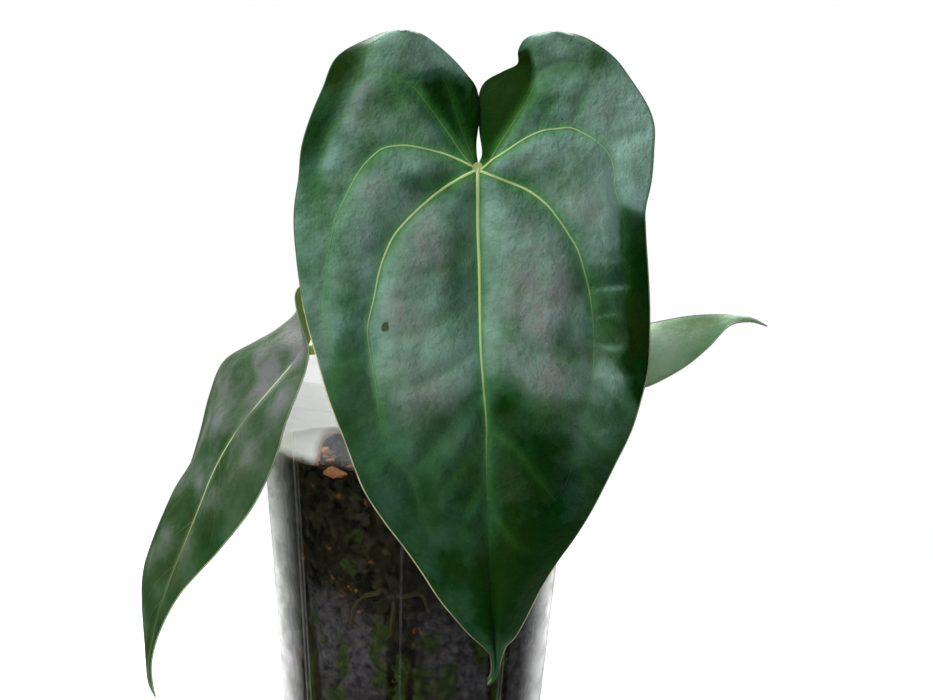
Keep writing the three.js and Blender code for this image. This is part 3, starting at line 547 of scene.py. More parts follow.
def mix_solid():
    """Points and faces of the mix, and for each point its moss, haze and crevice; the material
    darkens the crevices, the root sides and the open slits as painted shade.
    """
    top_rings = np.linspace(0.04, 1, 34)
    side_heights = np.arange(MIX_HEIGHT - 1 * MM, FLOOR + MIX_GAP + 1 * MM, -1.3 * MM)
    floor_heights = [FLOOR + MIX_GAP + 1 * MM, FLOOR + MIX_GAP]
    turns = np.arange(MIX_SIDES) * 2 * math.pi / MIX_SIDES
    runs = np.vstack(root_wall_runs)
    points = [(0, 0, mix_height(0, 0))]
    marks = [(0, 0.2, 0)]
    for share in top_rings:
        for turn in turns:
            height = mix_height(share * (wall_radius(MIX_HEIGHT) - WALL), turn)
            angle = (math.degrees(turn) + 180) % 360 - 180
            set_back = 4.2 * MM * bare_chip(angle, height) * share ** 8
            radius = share * (wall_radius(height) - WALL - MIX_GAP - set_back)
            point = Vector((radius * math.sin(turn), -radius * math.cos(turn), height))
            borders = noise.voronoi(point / PIECE_SIZE)[0]
            crevice = float(ramp(0.3, 0.0, borders[1] - borders[0]))
            point.z -= 1.2 * MM * crevice * min(1, 3 * (1 - share) + 0.2)
            points.append(tuple(point))
            marks.append((0.55 * noise.noise(point * 40) + 0.1, 0.15, crevice))
    for height in [*side_heights, *floor_heights]:
        for turn in turns:
            angle = (math.degrees(turn) + 180) % 360 - 180
            outer = wall_radius(height) - WALL - MIX_GAP
            if height in floor_heights:
                outer -= 1.2 * MM if height == floor_heights[-1] else 0
            place = Vector(on_circle(outer, angle, height))
            borders = noise.voronoi(place / PIECE_SIZE)[0]
            crevice = float(ramp(0.22, 0.0, borders[1] - borders[0]))
            rooted = float(ramp(3.0 * MM, 1.6 * MM, np.min(np.linalg.norm(runs - np.array(place), axis=1))))
            inward = 0.9 * MM * max(crevice, 0.5 * rooted) + 4.2 * MM * bare_chip(angle, height)
            points.append(tuple(on_circle(outer - inward, angle, height)))
            moss = max(math.exp(-((angle - a + 180) % 360 - 180) ** 2 / w ** 2
                                - (height / MM - h) ** 2 / s ** 2) for a, h, w, s in MOSS)
            slit = abs((angle - math.degrees(FIRST_RIB) + 22.5) % 45 - 22.5)
            algae = float(ramp(7, 3, slit)) * float(ramp(46, 32, height / MM))
            haze = sum(k * math.exp(-(((angle - a + 180) % 360 - 180) / w) ** 2
                                    - ((height / MM - h) / s) ** 2) for a, h, w, s, k in HAZE)
            haze += 0.4 * float(ramp(76, 52, height / MM))
            open_slit = math.exp(-((slit - 3.7) / 1.4) ** 2) * float(ramp(37, 34, height / MM))
            # Darker above each slit, where the mix is wet, and in a thin line along each rib.
            darker_streak = math.exp(-((slit - 3.7) / 1.8) ** 2) * float(ramp(56, 44, height / MM))
            darker_streak += 0.8 * math.exp(-((slit - 0.6) / 0.5) ** 2)
            damp = max(moss, 0.8 * algae) * (1 - open_slit)
            marks.append((damp, haze - darker_streak, max(crevice, 0.4 * rooted, open_slit)))
    points.append((0, 0, FLOOR + MIX_GAP))
    marks.append((0, 0, 0))
    rings = len(top_rings) + len(side_heights) + len(floor_heights)
    faces = []
    for j in range(MIX_SIDES):
        k = (j + 1) % MIX_SIDES
        faces.append((0, 1 + j, 1 + k))
        for i in range(rings - 1):
            a, b = 1 + i * MIX_SIDES, 1 + (i + 1) * MIX_SIDES
            faces.append((a + j, b + j, b + k, a + k))
        last = 1 + (rings - 1) * MIX_SIDES
        faces.append((len(points) - 1, last + k, last + j))
    moss, haze, crevice = zip(*marks)
    return points, faces, {"moss": moss, "haze": haze, "crevice": crevice}


mix_points, mix_faces, mix_marks = mix_solid()
mix = smoothed(new_object("potting_mix_surface", mix_points, mix_faces, **mix_marks), 60)
mix.data.materials.append(damp_mix())
carried(mix, "potting_mix", "potting_mix")

# Loose bits on the mix: bark chips, torn and angular, and dark lumps of charcoal-like stone
# with pale specks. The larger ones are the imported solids, made finer; a node tree scatters
# smaller crumbs over the top.
CHIP_COUNT = 9
LUMP_COUNT = 3
CRUMB_SPACING = 3.2 * MM
CRUMB_SIZE = 2.1 * MM


def bark():
    """Pine bark: orange-brown outside, darker in the torn grain, dull."""
    made, tree, output = new_material("pine_bark")
    place = add(tree, "ShaderNodeTexCoord").outputs["Object"]
    shade = add(tree, "ShaderNodeAttribute", attribute_name="shade").outputs["Fac"]
    grain = add(tree, "ShaderNodeTexNoise", {"Vector": place, "Scale": 380, "Detail": 6,
                                             "Roughness": 0.7, "Distortion": 1.5})
    bright = add(tree, "ShaderNodeMix", {0: shade, 6: linear("#2a211a"), 7: linear("#b07850")},
                 data_type="RGBA")
    torn = add(tree, "ShaderNodeMapRange", {0: grain.outputs[0], 1: 0.3, 2: 0.7, 3: 0.5, 4: 1.35})
    colour = add(tree, "ShaderNodeHueSaturation", {"Value": torn.outputs[0], "Color": bright.outputs[2]})
    relief = add(tree, "ShaderNodeBump", {"Strength": 0.8, "Distance": 0.0005,
                                          "Height": grain.outputs[0]})
    wood = add(tree, "ShaderNodeBsdfPrincipled", {
        "Base Color": colour.outputs[0], "Roughness": 0.82, "Specular IOR Level": 0.1,
        "Normal": relief.outputs[0]})
    tree.links.new(wood.outputs[0], output.inputs[0])
    return made


def charcoal():
    """Charcoal lump: dark blue-grey, rough, with pale mineral specks."""
    made, tree, output = new_material("charcoal_lump")
    place = add(tree, "ShaderNodeTexCoord").outputs["Object"]
    cells = add(tree, "ShaderNodeTexVoronoi", {"Vector": place, "Scale": 520})
    speck = add(tree, "ShaderNodeMath", {0: cells.outputs["Distance"], 1: 0.22}, operation="LESS_THAN")
    broad = add(tree, "ShaderNodeTexNoise", {"Vector": place, "Scale": 160, "Detail": 5})
    patchy = add(tree, "ShaderNodeMapRange", {0: broad.outputs[0], 1: 0.45, 2: 0.6, 3: 0.0, 4: 0.8})
    specks = add(tree, "ShaderNodeMath", {0: speck.outputs[0], 1: patchy.outputs[0]}, operation="MULTIPLY")
    colour = add(tree, "ShaderNodeMix", {0: specks.outputs[0], 6: linear("#343b47"),
                                         7: linear("#9aa0aa")}, data_type="RGBA")
    relief = add(tree, "ShaderNodeBump", {"Strength": 0.8, "Distance": 0.0006,
                                          "Height": broad.outputs[0]})
    stone = add(tree, "ShaderNodeBsdfPrincipled", {
        "Base Color": colour.outputs[2], "Roughness": 0.75, "Specular IOR Level": 0.15,
        "Normal": relief.outputs[0]})
    tree.links.new(stone.outputs[0], output.inputs[0])
    return made


def finer(node, name, rough, surface):
    """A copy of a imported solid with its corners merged, its faces divided and roughened."""
    made = bpy.data.objects.new(name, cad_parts[node].data.copy())
    bpy.context.scene.collection.objects.link(made)
    weld = made.modifiers.new("weld", "WELD")
    weld.merge_threshold = 0.01 * MM
    divide = made.modifiers.new("divide", "SUBSURF")
    divide.subdivision_type = "SIMPLE"
    divide.levels = divide.render_levels = 3
    depsgraph = bpy.context.evaluated_depsgraph_get()
    mesh = bpy.data.meshes.new_from_object(made.evaluated_get(depsgraph), depsgraph=depsgraph)
    made.modifiers.clear()
    made.data = mesh
    centre = sum((v.co for v in mesh.vertices), Vector()) / len(mesh.vertices)
    for v in mesh.vertices:
        out = (v.co - centre).normalized()
        v.co += out * rough * (noise.noise(v.co * 420) - 0.15)
    mesh.materials.clear()
    mesh.materials.append(surface)
    return smoothed(made, 50)


def crumb_tree():
    tree, given, result = new_tree("bark_crumbs", {
        "Spacing": "Float", "Size": "Float", "Inner": "Float", "Outer": "Float", "Lowest": "Float",
        "Seed": "Int", "Material": "Material"})
    place = add(tree, "ShaderNodeSeparateXYZ", {0: add(tree, "GeometryNodeInputPosition").outputs[0]})
    flat = add(tree, "ShaderNodeCombineXYZ", {0: place.outputs[0], 1: place.outputs[1]})
    away = add(tree, "ShaderNodeVectorMath", {0: flat.outputs[0]}, operation="LENGTH").outputs["Value"]
    beyond = add(tree, "ShaderNodeMath", {0: away, 1: given.outputs["Inner"]}, operation="GREATER_THAN")
    within = add(tree, "ShaderNodeMath", {0: away, 1: given.outputs["Outer"]}, operation="LESS_THAN")
    high = add(tree, "ShaderNodeMath", {0: place.outputs[2], 1: given.outputs["Lowest"]},
               operation="GREATER_THAN")
    both = add(tree, "ShaderNodeMath", {0: beyond.outputs[0], 1: within.outputs[0]}, operation="MULTIPLY")
    top = add(tree, "ShaderNodeMath", {0: both.outputs[0], 1: high.outputs[0]}, operation="MULTIPLY")
    points = add(tree, "GeometryNodeDistributePointsOnFaces", {
        0: given.outputs["Geometry"], "Selection": top.outputs[0],
        "Distance Min": given.outputs["Spacing"], "Density Max": 120000.0,
        "Seed": given.outputs["Seed"]}, distribute_method="POISSON")
    shade = add(tree, "FunctionNodeRandomValue", {2: 0.0, 3: 1.0, "Seed": given.outputs["Seed"]},
                data_type="FLOAT")
    curve = add(tree, "ShaderNodeMath", {0: shade.outputs[1], 1: 2.2}, operation="POWER")
    shaded = add(tree, "GeometryNodeStoreNamedAttribute", {
        0: points.outputs[0], "Name": "shade", "Value": curve.outputs[0]}, data_type="FLOAT")
    turn = add(tree, "FunctionNodeRandomValue", {
        0: (-0.5, -0.5, 0.0), 1: (0.5, 0.5, math.tau), "Seed": 3}, data_type="FLOAT_VECTOR")
    size = add(tree, "FunctionNodeRandomValue", {
        0: (0.5, 0.3, 0.2), 1: (1.7, 0.9, 0.5), "Seed": 5}, data_type="FLOAT_VECTOR")
    crumb = add(tree, "GeometryNodeMeshIcoSphere", {"Radius": given.outputs["Size"], "Subdivisions": 1})
    placed = add(tree, "GeometryNodeInstanceOnPoints", {
        0: shaded.outputs[0], "Instance": crumb.outputs[0], "Rotation": turn.outputs[0],
        "Scale": size.outputs[0]})
    real = add(tree, "GeometryNodeRealizeInstances", {0: placed.outputs[0]})
    finished = add(tree, "GeometryNodeSetMaterial", {0: real.outputs[0],
                                                     "Material": given.outputs["Material"]})
    tree.links.new(finished.outputs[0], result.inputs[0])
    return tree


pine_bark = bark()
charcoal_lump = charcoal()
for i in range(1, CHIP_COUNT + 1):
    chip = finer(f"bark_chip_{i}", f"bark_piece_{i}", 0.9 * MM, pine_bark)
    shade = chip.data.attributes.new("shade", "FLOAT", "POINT")
    shade.data.foreach_set("value", [1.0 if i == 1 else 0.25 + 0.07 * i] * len(shade.data))
    carried(chip, "bark", f"bark_chip_{i}")
for i in range(1, LUMP_COUNT + 1):
    lump = finer(f"dark_lump_{i}", f"charcoal_lump_{i}", 0.8 * MM, charcoal_lump)
    carried(lump, "dark_lump", f"dark_lump_{i}")
crumbs = new_object("bark_crumbs", mix_points, mix_faces)
grown(crumbs, crumb_tree(), {
    "Spacing": CRUMB_SPACING, "Size": CRUMB_SIZE, "Inner": STEM_RADIUS + 2 * MM,
    "Outer": wall_radius(MIX_HEIGHT) - WALL - 3.4 * MM, "Lowest": MIX_HEIGHT - 3 * MM, "Seed": 4,
    "Material": pine_bark})
carried(crumbs, "bark")

# Leaf stalks: one to each blade, round and firm, thicker at the foot, with a short swollen
# knee under the blade. Fresh green tissue, paler at the knee. Swept along their lines.
STALK_RADIUS = 2.2 * MM
STALKS = {
    "front": [
        (1, -4, 124), (2.5, -9.5, 133), (4, -14, 151), (8.5, -29, 183), (14, -48, 212),
        (19, -63, 229), (21.5, -70, 233.4), (22.1, -75.5, 233.6)],
    "left": [
        (-3.5, -2, 124), (-9, -6.5, 132), (-16, -14.5, 145), (-25, -26, 156),
        (-33, -35, 160.5), (-38, -41, 160.6), (-42.6, -44.6, 160.1)],
    "right": [
        (3, 3, 124), (7, 8, 132), (13, 15, 144), (21, 22, 153.5), (29, 27, 157.6), (34.6, 29.8, 160.6)],
}
# Share of the way along the stalk, and the radius there over STALK_RADIUS
STALK_SWELL = [(0, 1.6), (0.12, 1.55), (0.28, 1.0), (0.84, 0.97), (0.93, 1.25), (1, 0.95)]


def stalk_skin():
    """Leaf stalk: smooth green skin with a fine mottle, yellower at the knee."""
    made, tree, output = new_material("green_stalk")
    place = add(tree, "ShaderNodeTexCoord").outputs["Object"]
    knee = add(tree, "ShaderNodeAttribute", attribute_name="knee").outputs["Fac"]
    mottle = add(tree, "ShaderNodeTexNoise", {"Vector": place, "Scale": 220, "Detail": 4})
    skin = add(tree, "ShaderNodeMix", {0: mottle.outputs[0], 6: linear("#3d5a26"),
                                       7: linear("#66813f")}, data_type="RGBA")
    colour = add(tree, "ShaderNodeMix", {0: knee, 6: skin.outputs[2], 7: linear("#a3b36a")},
                 data_type="RGBA")
    body = add(tree, "ShaderNodeBsdfPrincipled", {"Base Color": colour.outputs[2], "Roughness": 0.42})
    tree.links.new(body.outputs[0], output.inputs[0])
    return made


green_stalk = stalk_skin()
stalk_tree = sweep_tree("leaf_stalks", 18)
for side, route in STALKS.items():
    line = smooth_line(np.array(route) * MM, 1.5 * MM)
    share = np.linspace(0, 1, len(line))
    radii = STALK_RADIUS * np.interp(share, *zip(*STALK_SWELL))
    stalk = swept(f"stalk_{side}", [line], [radii], stalk_tree, green_stalk,
                  knee=[ramp(0.85, 0.97, share)])
    carried(stalk, "stalk", f"leaf_stalk_{side}")

# Front blade: the large heart-shaped leaf, leathery and velvety, cushioned between its veins,
# with its lobes folded back beside the cleft. Both faces are one net of points a leaf's
# thickness apart, thinner at the margin. The veins are swept ribs that lie half in its face.
BLADE_THICKNESS = 0.7 * MM
MARGIN_RADIUS = 0.3 * MM
# mm from the joint: inner x, inner z, margin x, margin z
FRONT_LEFT_LOBE = [
    (-26.8, 49.3, -32.5, 49.4), (-20.6, 47.4, -39.6, 47.3), (-12.1, 41.2, -53.5, 39.4),
    (-5.3, 34.2, -58.9, 27), (-1.2, 28.3, -63.3, 15.8), (0.1, 19.4, -66.3, 5),
    (-0.8, 8.6, -67.2, -6.2)]
FRONT_RIGHT_LOBE = [
    (24, 50, 30.5, 50.2), (16.9, 47.6, 38.8, 48.3), (14.1, 43.4, 49.2, 41.8),
    (13.9, 38.2, 56.8, 32.6), (8.4, 35.1, 62.8, 23.6), (1.9, 31, 65.4, 16),
    (-0.3, 24.4, 65.4, 7.4), (0.3, 13.4, 64.9, -3.9), (1.4, 5, 63.2, -14.5)]
# Below the joint: midrib x, z, left margin x, z, right margin x, z
FRONT_BODY = [
    (0, 0, -68.6, -21.5, 63.6, -22.6), (0.5, -21.9, -66.3, -44.6, 65.4, -43.3),
    (1.3, -35.7, -63.5, -59.3, 66.3, -57.3), (2, -51.8, -58.7, -75.2, 66.4, -74.4),
    (2.8, -68.8, -53.9, -91.6, 63.9, -87.2), (4.4, -84.8, -47.7, -107.1, 60.4, -100),
    (5.7, -97.4, -41, -123.8, 54.3, -114.7), (6, -111.8, -32.7, -137.2, 47.7, -129.2),
    (6.7, -125.5, -25.3, -147.2, 40.9, -141.6), (7.5, -138.6, -17.9, -157.6, 34.4, -152.2),
    (8.4, -151.5, -10.9, -168.2, 28.9, -162.6), (9.3, -163.8, -4.3, -176.5, 23.1, -175.7),
    (10.1, -174.6, 1.5, -183.3, 19, -183.7), (10.8, -182.9, 7.2, -188.8, 15.6, -187.8),
    (11.5, -189.5, 9.8, -192.6, 13.8, -193.6), (11.8, -195.2, 10.4, -197.9, 12.7, -198.9),
    (10.7, -199, 9.9, -201.2, 11.2, -201.8), (9, -202.6, 9, -202.6, 9, -202.6)]
FRONT_JOINT = np.array([22.1, -76.4, 234.3])
FRONT_PLANE = -70
ROW_STEPS = 10
FRONT_COLUMNS = 56
# Veins in mm from the joint, then the ribs' radii and paleness at even steps along them, how
# deep the blade is creased there and how wide
FRONT_VEINS = {
    "first_left": ([
        (-0.3, -1.4), (-6.2, -4.5), (-14.6, -10.2), (-23, -17.8), (-29.9, -25.6), (-33.1, -31.8),
        (-35.9, -40.2), (-37.7, -50.5), (-39.9, -63.7), (-36.7, -81), (-34.8, -95.9),
        (-30.6, -109.2), (-23.1, -118), (-21.3, -122.3), (-17.9, -133.2), (-14.4, -141.1)],
        (0.6, 0.5, 0.34, 0.18, 0.1), (1, 0.75, 0.2, 0.02, 0), 1.0, 3.0),
    "first_right": ([
        (1.1, -1.9), (10.9, -5.5), (19.5, -9), (26.3, -14), (30.6, -19.1), (35.2, -25.7),
        (38.3, -30.8), (41.6, -40.8), (43.5, -48.6), (45.3, -63.5), (45.3, -76.3), (43, -86.3),
        (40.2, -91.5), (40.2, -102.8), (38.6, -112.9), (35.6, -121.8), (29.7, -129.2)],
        (0.58, 0.45, 0.28, 0.16, 0.1), (1, 0.65, 0.12, 0, 0), 1.0, 2.8),
    "second_left": ([
        (-1.9, -0.3), (-6.4, 1.8), (-11.6, 3.9), (-18.3, 5.6), (-25.4, 6.9), (-30.6, 6.8),
        (-35.4, 5.7), (-38.8, 3.2), (-43, -1.3), (-46.2, -6.5), (-49.4, -13.3), (-53, -21.9),
        (-54.3, -28.6), (-55.7, -36.4), (-56.6, -49.1), (-56.3, -62.2), (-54, -70.1),
        (-53, -83.3), (-49.9, -95.5)],
        (0.42, 0.3, 0.16, 0.1, 0.08), (0.85, 0.5, 0.12, 0.04, 0), 0.55, 2.8),
    "second_right": ([
        (1.2, -1.2), (3, 0.2), (5.5, 2.5), (10.6, 5.9), (17.2, 10.5), (23.7, 13.6), (29.6, 14.5),
        (34.1, 15), (39.3, 12.9), (44.2, 10.1), (48.8, 5.4), (50.6, 0.3), (51.4, -6.8),
        (53.4, -14.1), (55.5, -21.1), (56.1, -29.6), (56.6, -44), (57.5, -62)],
        (0.42, 0.34, 0.18, 0.1, 0.08), (0.9, 0.6, 0.12, 0.04, 0), 0.6, 2.8),
    "second_right_branch": ([
        (34.1, 15), (38, 22.1), (41.1, 29.5)], (0.14, 0.08), (0.15, 0), 0.3, 2.4),
    "third_left": ([
        (-1.2, -0.2), (-4.9, 3), (-11, 11.3), (-17.2, 19.6), (-23.3, 27.2), (-27.6, 30.4), (-31.9, 32.9),
        (-36.2, 33.9), (-40.5, 33.4), (-44.5, 31.8), (-47.9, 28.1), (-48.8, 24), (-49, 18.8)],
        (0.24, 0.16, 0.08), (0.3, 0.1, 0), 0.75, 2.6),
    "fourth_left": ([
        (-1.3, 1.6), (-5.1, 10), (-7.8, 16.5), (-10.4, 24.2), (-13, 30.8), (-16.8, 36.5),
        (-19.3, 39.8)], (0.18, 0.08), (0.1, 0), 0.5, 2.4),
    "third_right": ([
        (1.6, -1), (3.7, 0.9), (7.9, 8.4), (13.6, 17.8), (18.6, 26.4), (20.9, 31.6), (25, 36.5),
        (30.9, 38.4), (34.9, 39.1), (41.1, 37.2)], (0.26, 0.16, 0.08), (0.34, 0.12, 0), 0.85, 2.6),
    "low_left": ([
        (3.2, -85.4), (-5.2, -94.3), (-14.7, -107.7), (-22.8, -118)], (0.12, 0.08), (0.06, 0), 0.8, 4.0),
    "low_right": ([
        (5.8, -99), (16, -106), (26, -118), (33, -127)], (0.1, 0.08), (0.05, 0), 0.4, 3.5),
    "upper_left": ([
        (-34, 33.5), (-30, 24), (-27, 14), (-28, 7)], (0.1, 0.08), (0.04, 0), 0.35, 2.6),
    "margin_left": ([
        (-49, 19), (-55, 12), (-58, 2), (-60, -12), (-61, -28)], (0.1, 0.08), (0.06, 0), 0.35, 2.4),
}
# Cross veins, mm from the joint: inner x, z, outer x, z, how far they sag, crease depth
CROSS_VEINS = [
    (42, -31, 56, -33, -2, 0.9), (44, -44, 57, -42, -1.5, 1.3), (45, -56, 59, -60, 2, 1.3),
    (45.3, -67, 60, -75, 2, 1.1), (44, -80, 58, -92, 2, 1.2), (40.2, -97, 52, -110, 2, 1.2),
    (39, -109, 46, -122, 2, 0.9), (-33, -31, -55, -38, -2, 0.52), (-37.5, -48, -56, -55, -2, 0.52),
    (-38.5, -70, -54, -76, -1.5, 0.57), (-35, -92, -48, -101, -1, 0.57), (-31, -108, -42, -118, 0, 0.52),
    (-46, -7, -64, -6, 1, 0.52), (-51, -18, -66, -20, 1, 0.52), (-54.5, -30, -65.5, -34, 1, 0.52),
    (-56.5, -44, -64, -49, 1, 0.47), (50, 0, 63, -2, 1, 0.57), (46, 9, 62, 14, 1, 0.52),
    (1, -20, 31, -22, -5, 0.52), (1.4, -38, 42, -50, -4, 0.57), (2.4, -58, 44.5, -72, -4, 0.57),
    (3.4, -78, 40, -94, -4, 0.57), (0.8, -14, -24, -19, -4, 0.52), (1, -32, -35.5, -42, -4, 0.52),
    (2, -50, -38.5, -66, -4, 0.57), (2.8, -68, -36, -86, -4, 0.57), (5.8, -104, -12, -126, 2, 0.52),
    (6, -118, -4, -140, 2, 0.47), (7, -128, 22, -148, -2, 0.47), (22, 13.3, 33, 33, 1, 0.52),
    (-20, 5.8, -33, 26, 1, 0.52), (12, -5.8, 26, 8, 1, 0.47), (-14, -9.5, -30, 3, -1, 0.47),
]
MIDRIB = ((1.0, 0.8, 0.65, 0.5, 0.28, 0.14, 0.08), (1, 0.95, 0.9, 0.38, 0.05, 0, 0), 1.1, 2.9)
# Broad valleys along the main veins, which leave the blade cushioned between: depth, half width
FRONT_VALLEYS = {
    "midrib": (4.6, 8.5), "first_left": (3.8, 8.0), "first_right": (3.2, 8.0), "second_left": (1.2, 6),
    "second_right": (1.4, 6), "low_left": (3.0, 5), "third_right": (1.3, 6), "third_left": (1.2, 6),
    "margin_left": (0.7, 4), "upper_left": (0.7, 5), "low_right": (0.8, 6)}
# Painted shade: regions that turn away from the light, painted a deeper green, in mm from the
# joint: corners, softness, strength
FRONT_PAINTED_SHADE = [
    ([(0, -1), (-4.9, 3), (-11, 11.3), (-17.2, 19.6), (-21, 25), (-22, 30), (-15, 33), (-6, 30),
      (4, 20), (2, 8)], 6.5, 0.85),
    ([(0, -1), (3.7, 0.6), (7.9, 8.4), (13.6, 17.8), (18, 26), (19, 36), (16, 43), (8, 42),
      (-3, 30), (-1, 10)], 1.8, 1.3),
    ([(-43, 46), (-46, 36), (-49, 26), (-53, 16), (-58, 3), (-74, -2), (-74, 30), (-62, 48)], 4.4, 0.62),
    ([(55, -15), (74, -20), (74, -62), (70, -92), (61, -90), (58, -72), (56.5, -40)], 2.6, 0.6),
    ([(42, -40), (54, -30), (74, -30), (74, -72), (60, -74), (46, -66), (44.5, -50)], 6.0, 0.32),
    ([(24, -120), (34, -122), (44, -112), (60, -96), (66, -140), (30, -175), (20, -210), (0, -210),
      (-4, -190), (2, -165), (12, -140)], 9.0, 0.16),
]
# Bloom with painted sheen by height in mm above the joint: the painted sheen fades over the
# lower part, which faces down
FRONT_BLOOM_AND_SHEEN = [
    (-200, 0.4), (-180, 0.2), (-160, 0.08), (-140, 0.1), (-118, 0.24), (-95, 0.46), (-76, 0.66), (-40, 0.7), (50, 0.66)]
# Soft patches of painted sheen and painted shade in mm from the joint: x, z, half width, half
# height, paler (+) or darker (-)
FRONT_SHEEN_AND_SHADE_PATCHES = [
    (-20, -7, 13, 5, -0.3), (-62, -8, 7, 9, -0.26), (-29, 22, 14, 12, -0.14), (-31, 8, 14, 5, -0.1),
    (57, 12, 12, 22, 0.4), (44, -12, 10, 9, 0.34), (11, -87, 11, 7, -0.22), (18, -92, 12, 7, -0.14), (21, -104, 17, 15, -0.38),
    (-6, -82, 6, 12, 0.14), (33, -66, 6, 7, -0.25), (50, -84, 6, 7, 0.12), (50, -54, 5, 1.3, 0.35),
    (53, -44, 7, 1.4, 0.45), (52, -67, 6, 1.4, 0.4), (54, -78, 6, 1.3, 0.2), (52, -34, 7, 1.3, 0.2),
    (-30, 27, 16, 12, -0.1), (-26, 46, 15, 5, 0.12), (46, -103, 6, 6, 0.1), (-46, -72, 7, 28, -0.34),
    (-46, -100, 8, 14, -0.1), (-28, -102, 9, 7, 0.04), (-6, 20, 2, 14, 0.16), (-13, 40, 8, 6, 0.15),
    (44, 44, 6, 6, -0.25), (22, 24, 8, 16, -0.1), (4, -32, 3.5, 28, 0.12), (6, -64, 5, 20, 0.14),
    (-9, -38, 5.5, 24, -0.24), (-21, -30, 5, 9, -0.14), (-33, -50, 3.5, 30, 0.12), (36, -44, 5, 12, -0.1),
    (-62, -28, 8, 18, -0.16), (20, -18, 8, 6, -0.1), (-2, -112, 8, 12, -0.06), (-16, -60, 8, 6, 0.08),
    (-19, -19, 8, 7, 0.22), (-22, -76, 9, 10, 0.12), (-14, -66, 6, 10, 0.1), (30, -54, 8, 5, 0.08),
]
# Purplish areas in mm from the joint: x, z, half width, half height, strength
FRONT_PURPLE = [
    (-20, -32, 10, 18, 1.1), (-26, -58, 9, 18, 1.1), (22, -46, 15, 24, 1.3), (40, -14, 12, 8, 0.6),
    (30, -72, 14, 16, 1.2), (-40, -8, 9, 9, 0.7), (-42, -28, 6, 10, 0.5), (-44, 22, 11, 10, 0.8),
    (-20, -86, 12, 12, 1.0), (44, 20, 12, 10, 0.5), (-58, -60, 5, 16, 0.3), (26, -100, 14, 12, 1.2),
    (4, -112, 12, 14, 0.4), (-26, 40, 12, 6, 0.4), (16, -70, 8, 12, 0.6), (20, 4, 10, 6, 0.5),
]
# A healed nick, mm from the joint
FRONT_SCAR = [(-34.4, -59.6), (-32.6, -58.9), (-31.4, -60.8), (-32.2, -63), (-33.9, -63.3), (-34.9, -61.6)]


def in_between(rows, joint, steps):
    """Catmull-Rom rows between the given ones; the inner edge starts afresh at the joint row."""
    rows = np.array(rows, float)
    inner = np.arange(rows.shape[1]) < rows.shape[1] / 2
    filled = []
    for i, (b, c) in enumerate(zip(rows, rows[1:])):
        a = rows[i - 1] if i else b
        d = rows[i + 2] if i + 2 < len(rows) else c
        a = np.where(inner, b, a) if i == joint else a
        d = np.where(inner, c, d) if i + 1 == joint else d
        for t in np.arange(steps) / steps:
            filled.append(b + 0.5 * t * (c - a + t * (2 * a - 5 * b + 4 * c - d + t * (3 * (b - c) + d - a))))
    filled.append(rows[-1])
    return np.array(filled)


def front_bulge(height, share, from_edge, side):
    """How far, in mm, the blade stands forward of its plane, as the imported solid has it."""
    below = np.maximum(0, -60 - height) / 133
    above = np.maximum(0, height + 60) / 110
    arch = 8 - 18 * below ** 2 - 5.5 * above ** 2
    droop = 6 - 3.4 * ramp(-30, 0, height) * (side > 0)
    cushion = 3.4 * np.sin(np.pi * share) - droop * share ** 3
    waves = 1.1 * share ** 2 * np.sin(height * 0.13 + side)
    fold_width = np.clip(0.75 * height + 2.5, 1, 26)
    folded = np.clip(1 - from_edge / fold_width, 0, 1) ** 1.15
    fold = 0.42 * fold_width * ramp(1, 12, height) * folded
    overlap = -side * 0.75 * ramp(3, 12, height) * np.clip(1 - from_edge / 6, 0, 1)
    apex = ramp(51, 27, height)
    return arch + cushion + waves - fold * apex + overlap


def front_half(lobe, side):
    """One half's grid of points in mm, inner edge first, and the share of the way outwards."""
    margin = 2 if side < 0 else 4
    body = [(*row[:2], *row[margin:margin + 2]) for row in FRONT_BODY]
    rows = in_between([*lobe, *body], len(lobe), ROW_STEPS)[:, None, :]
    share = np.linspace(0, 1, FRONT_COLUMNS + 1)[None, :]
    x = rows[..., 0] + (rows[..., 2] - rows[..., 0]) * share
    z = rows[..., 1] + (rows[..., 3] - rows[..., 1]) * share
    width = np.hypot(rows[..., 2] - rows[..., 0], rows[..., 3] - rows[..., 1])
    y = FRONT_PLANE - front_bulge(z, share, share * width, side)
    grid = np.stack([FRONT_JOINT[0] + x, y, FRONT_JOINT[2] + z], axis=-1)
    return grid, np.broadcast_to(share, x.shape), np.broadcast_to(width, x.shape)


def inside(corners, x, z):
    """Whether each point lies in a polygon of (x, z) corners."""
    within = np.zeros(x.shape, bool)
    for (x1, z1), (x2, z2) in zip(corners, corners[1:] + corners[:1]):
        crosses = (z1 > z) != (z2 > z)
        at = x1 + (z - z1) * (x2 - x1) / ((z2 - z1) or 1e-9)
        within ^= crosses & (x < at)
    return within


def soft_area(corners, softness, x, z):
    """1 inside a polygon and 0 outside, with a soft edge some millimetres wide."""
    ring = np.array(corners + corners[:1], float)
    gap = distance_to(ring, x, z)[0]
    return ramp(-softness, softness, np.where(inside(corners, x, z), gap, -gap))


def distance_to(line, x, z):
    """Distance of each point to a line of (x, z) points, and how far along the line it is."""
    flat = np.stack([x.ravel(), z.ravel()], axis=-1)
    nearest = np.full(len(flat), 1e9)
    along = np.zeros(len(flat))
    lengths = np.concatenate([[0], np.cumsum(np.linalg.norm(np.diff(line, axis=0), axis=1))])
    for k, (p, q) in enumerate(zip(line, line[1:])):
        d = q - p
        t = np.clip((flat - p) @ d / (d @ d), 0, 1)
        gap = np.linalg.norm(flat - p - t[:, None] * d, axis=1)
        closer = gap < nearest
        nearest[closer] = gap[closer]
        along[closer] = (lengths[k] + t[closer] * (lengths[k + 1] - lengths[k])) / lengths[-1]
    return nearest.reshape(x.shape), along.reshape(x.shape)


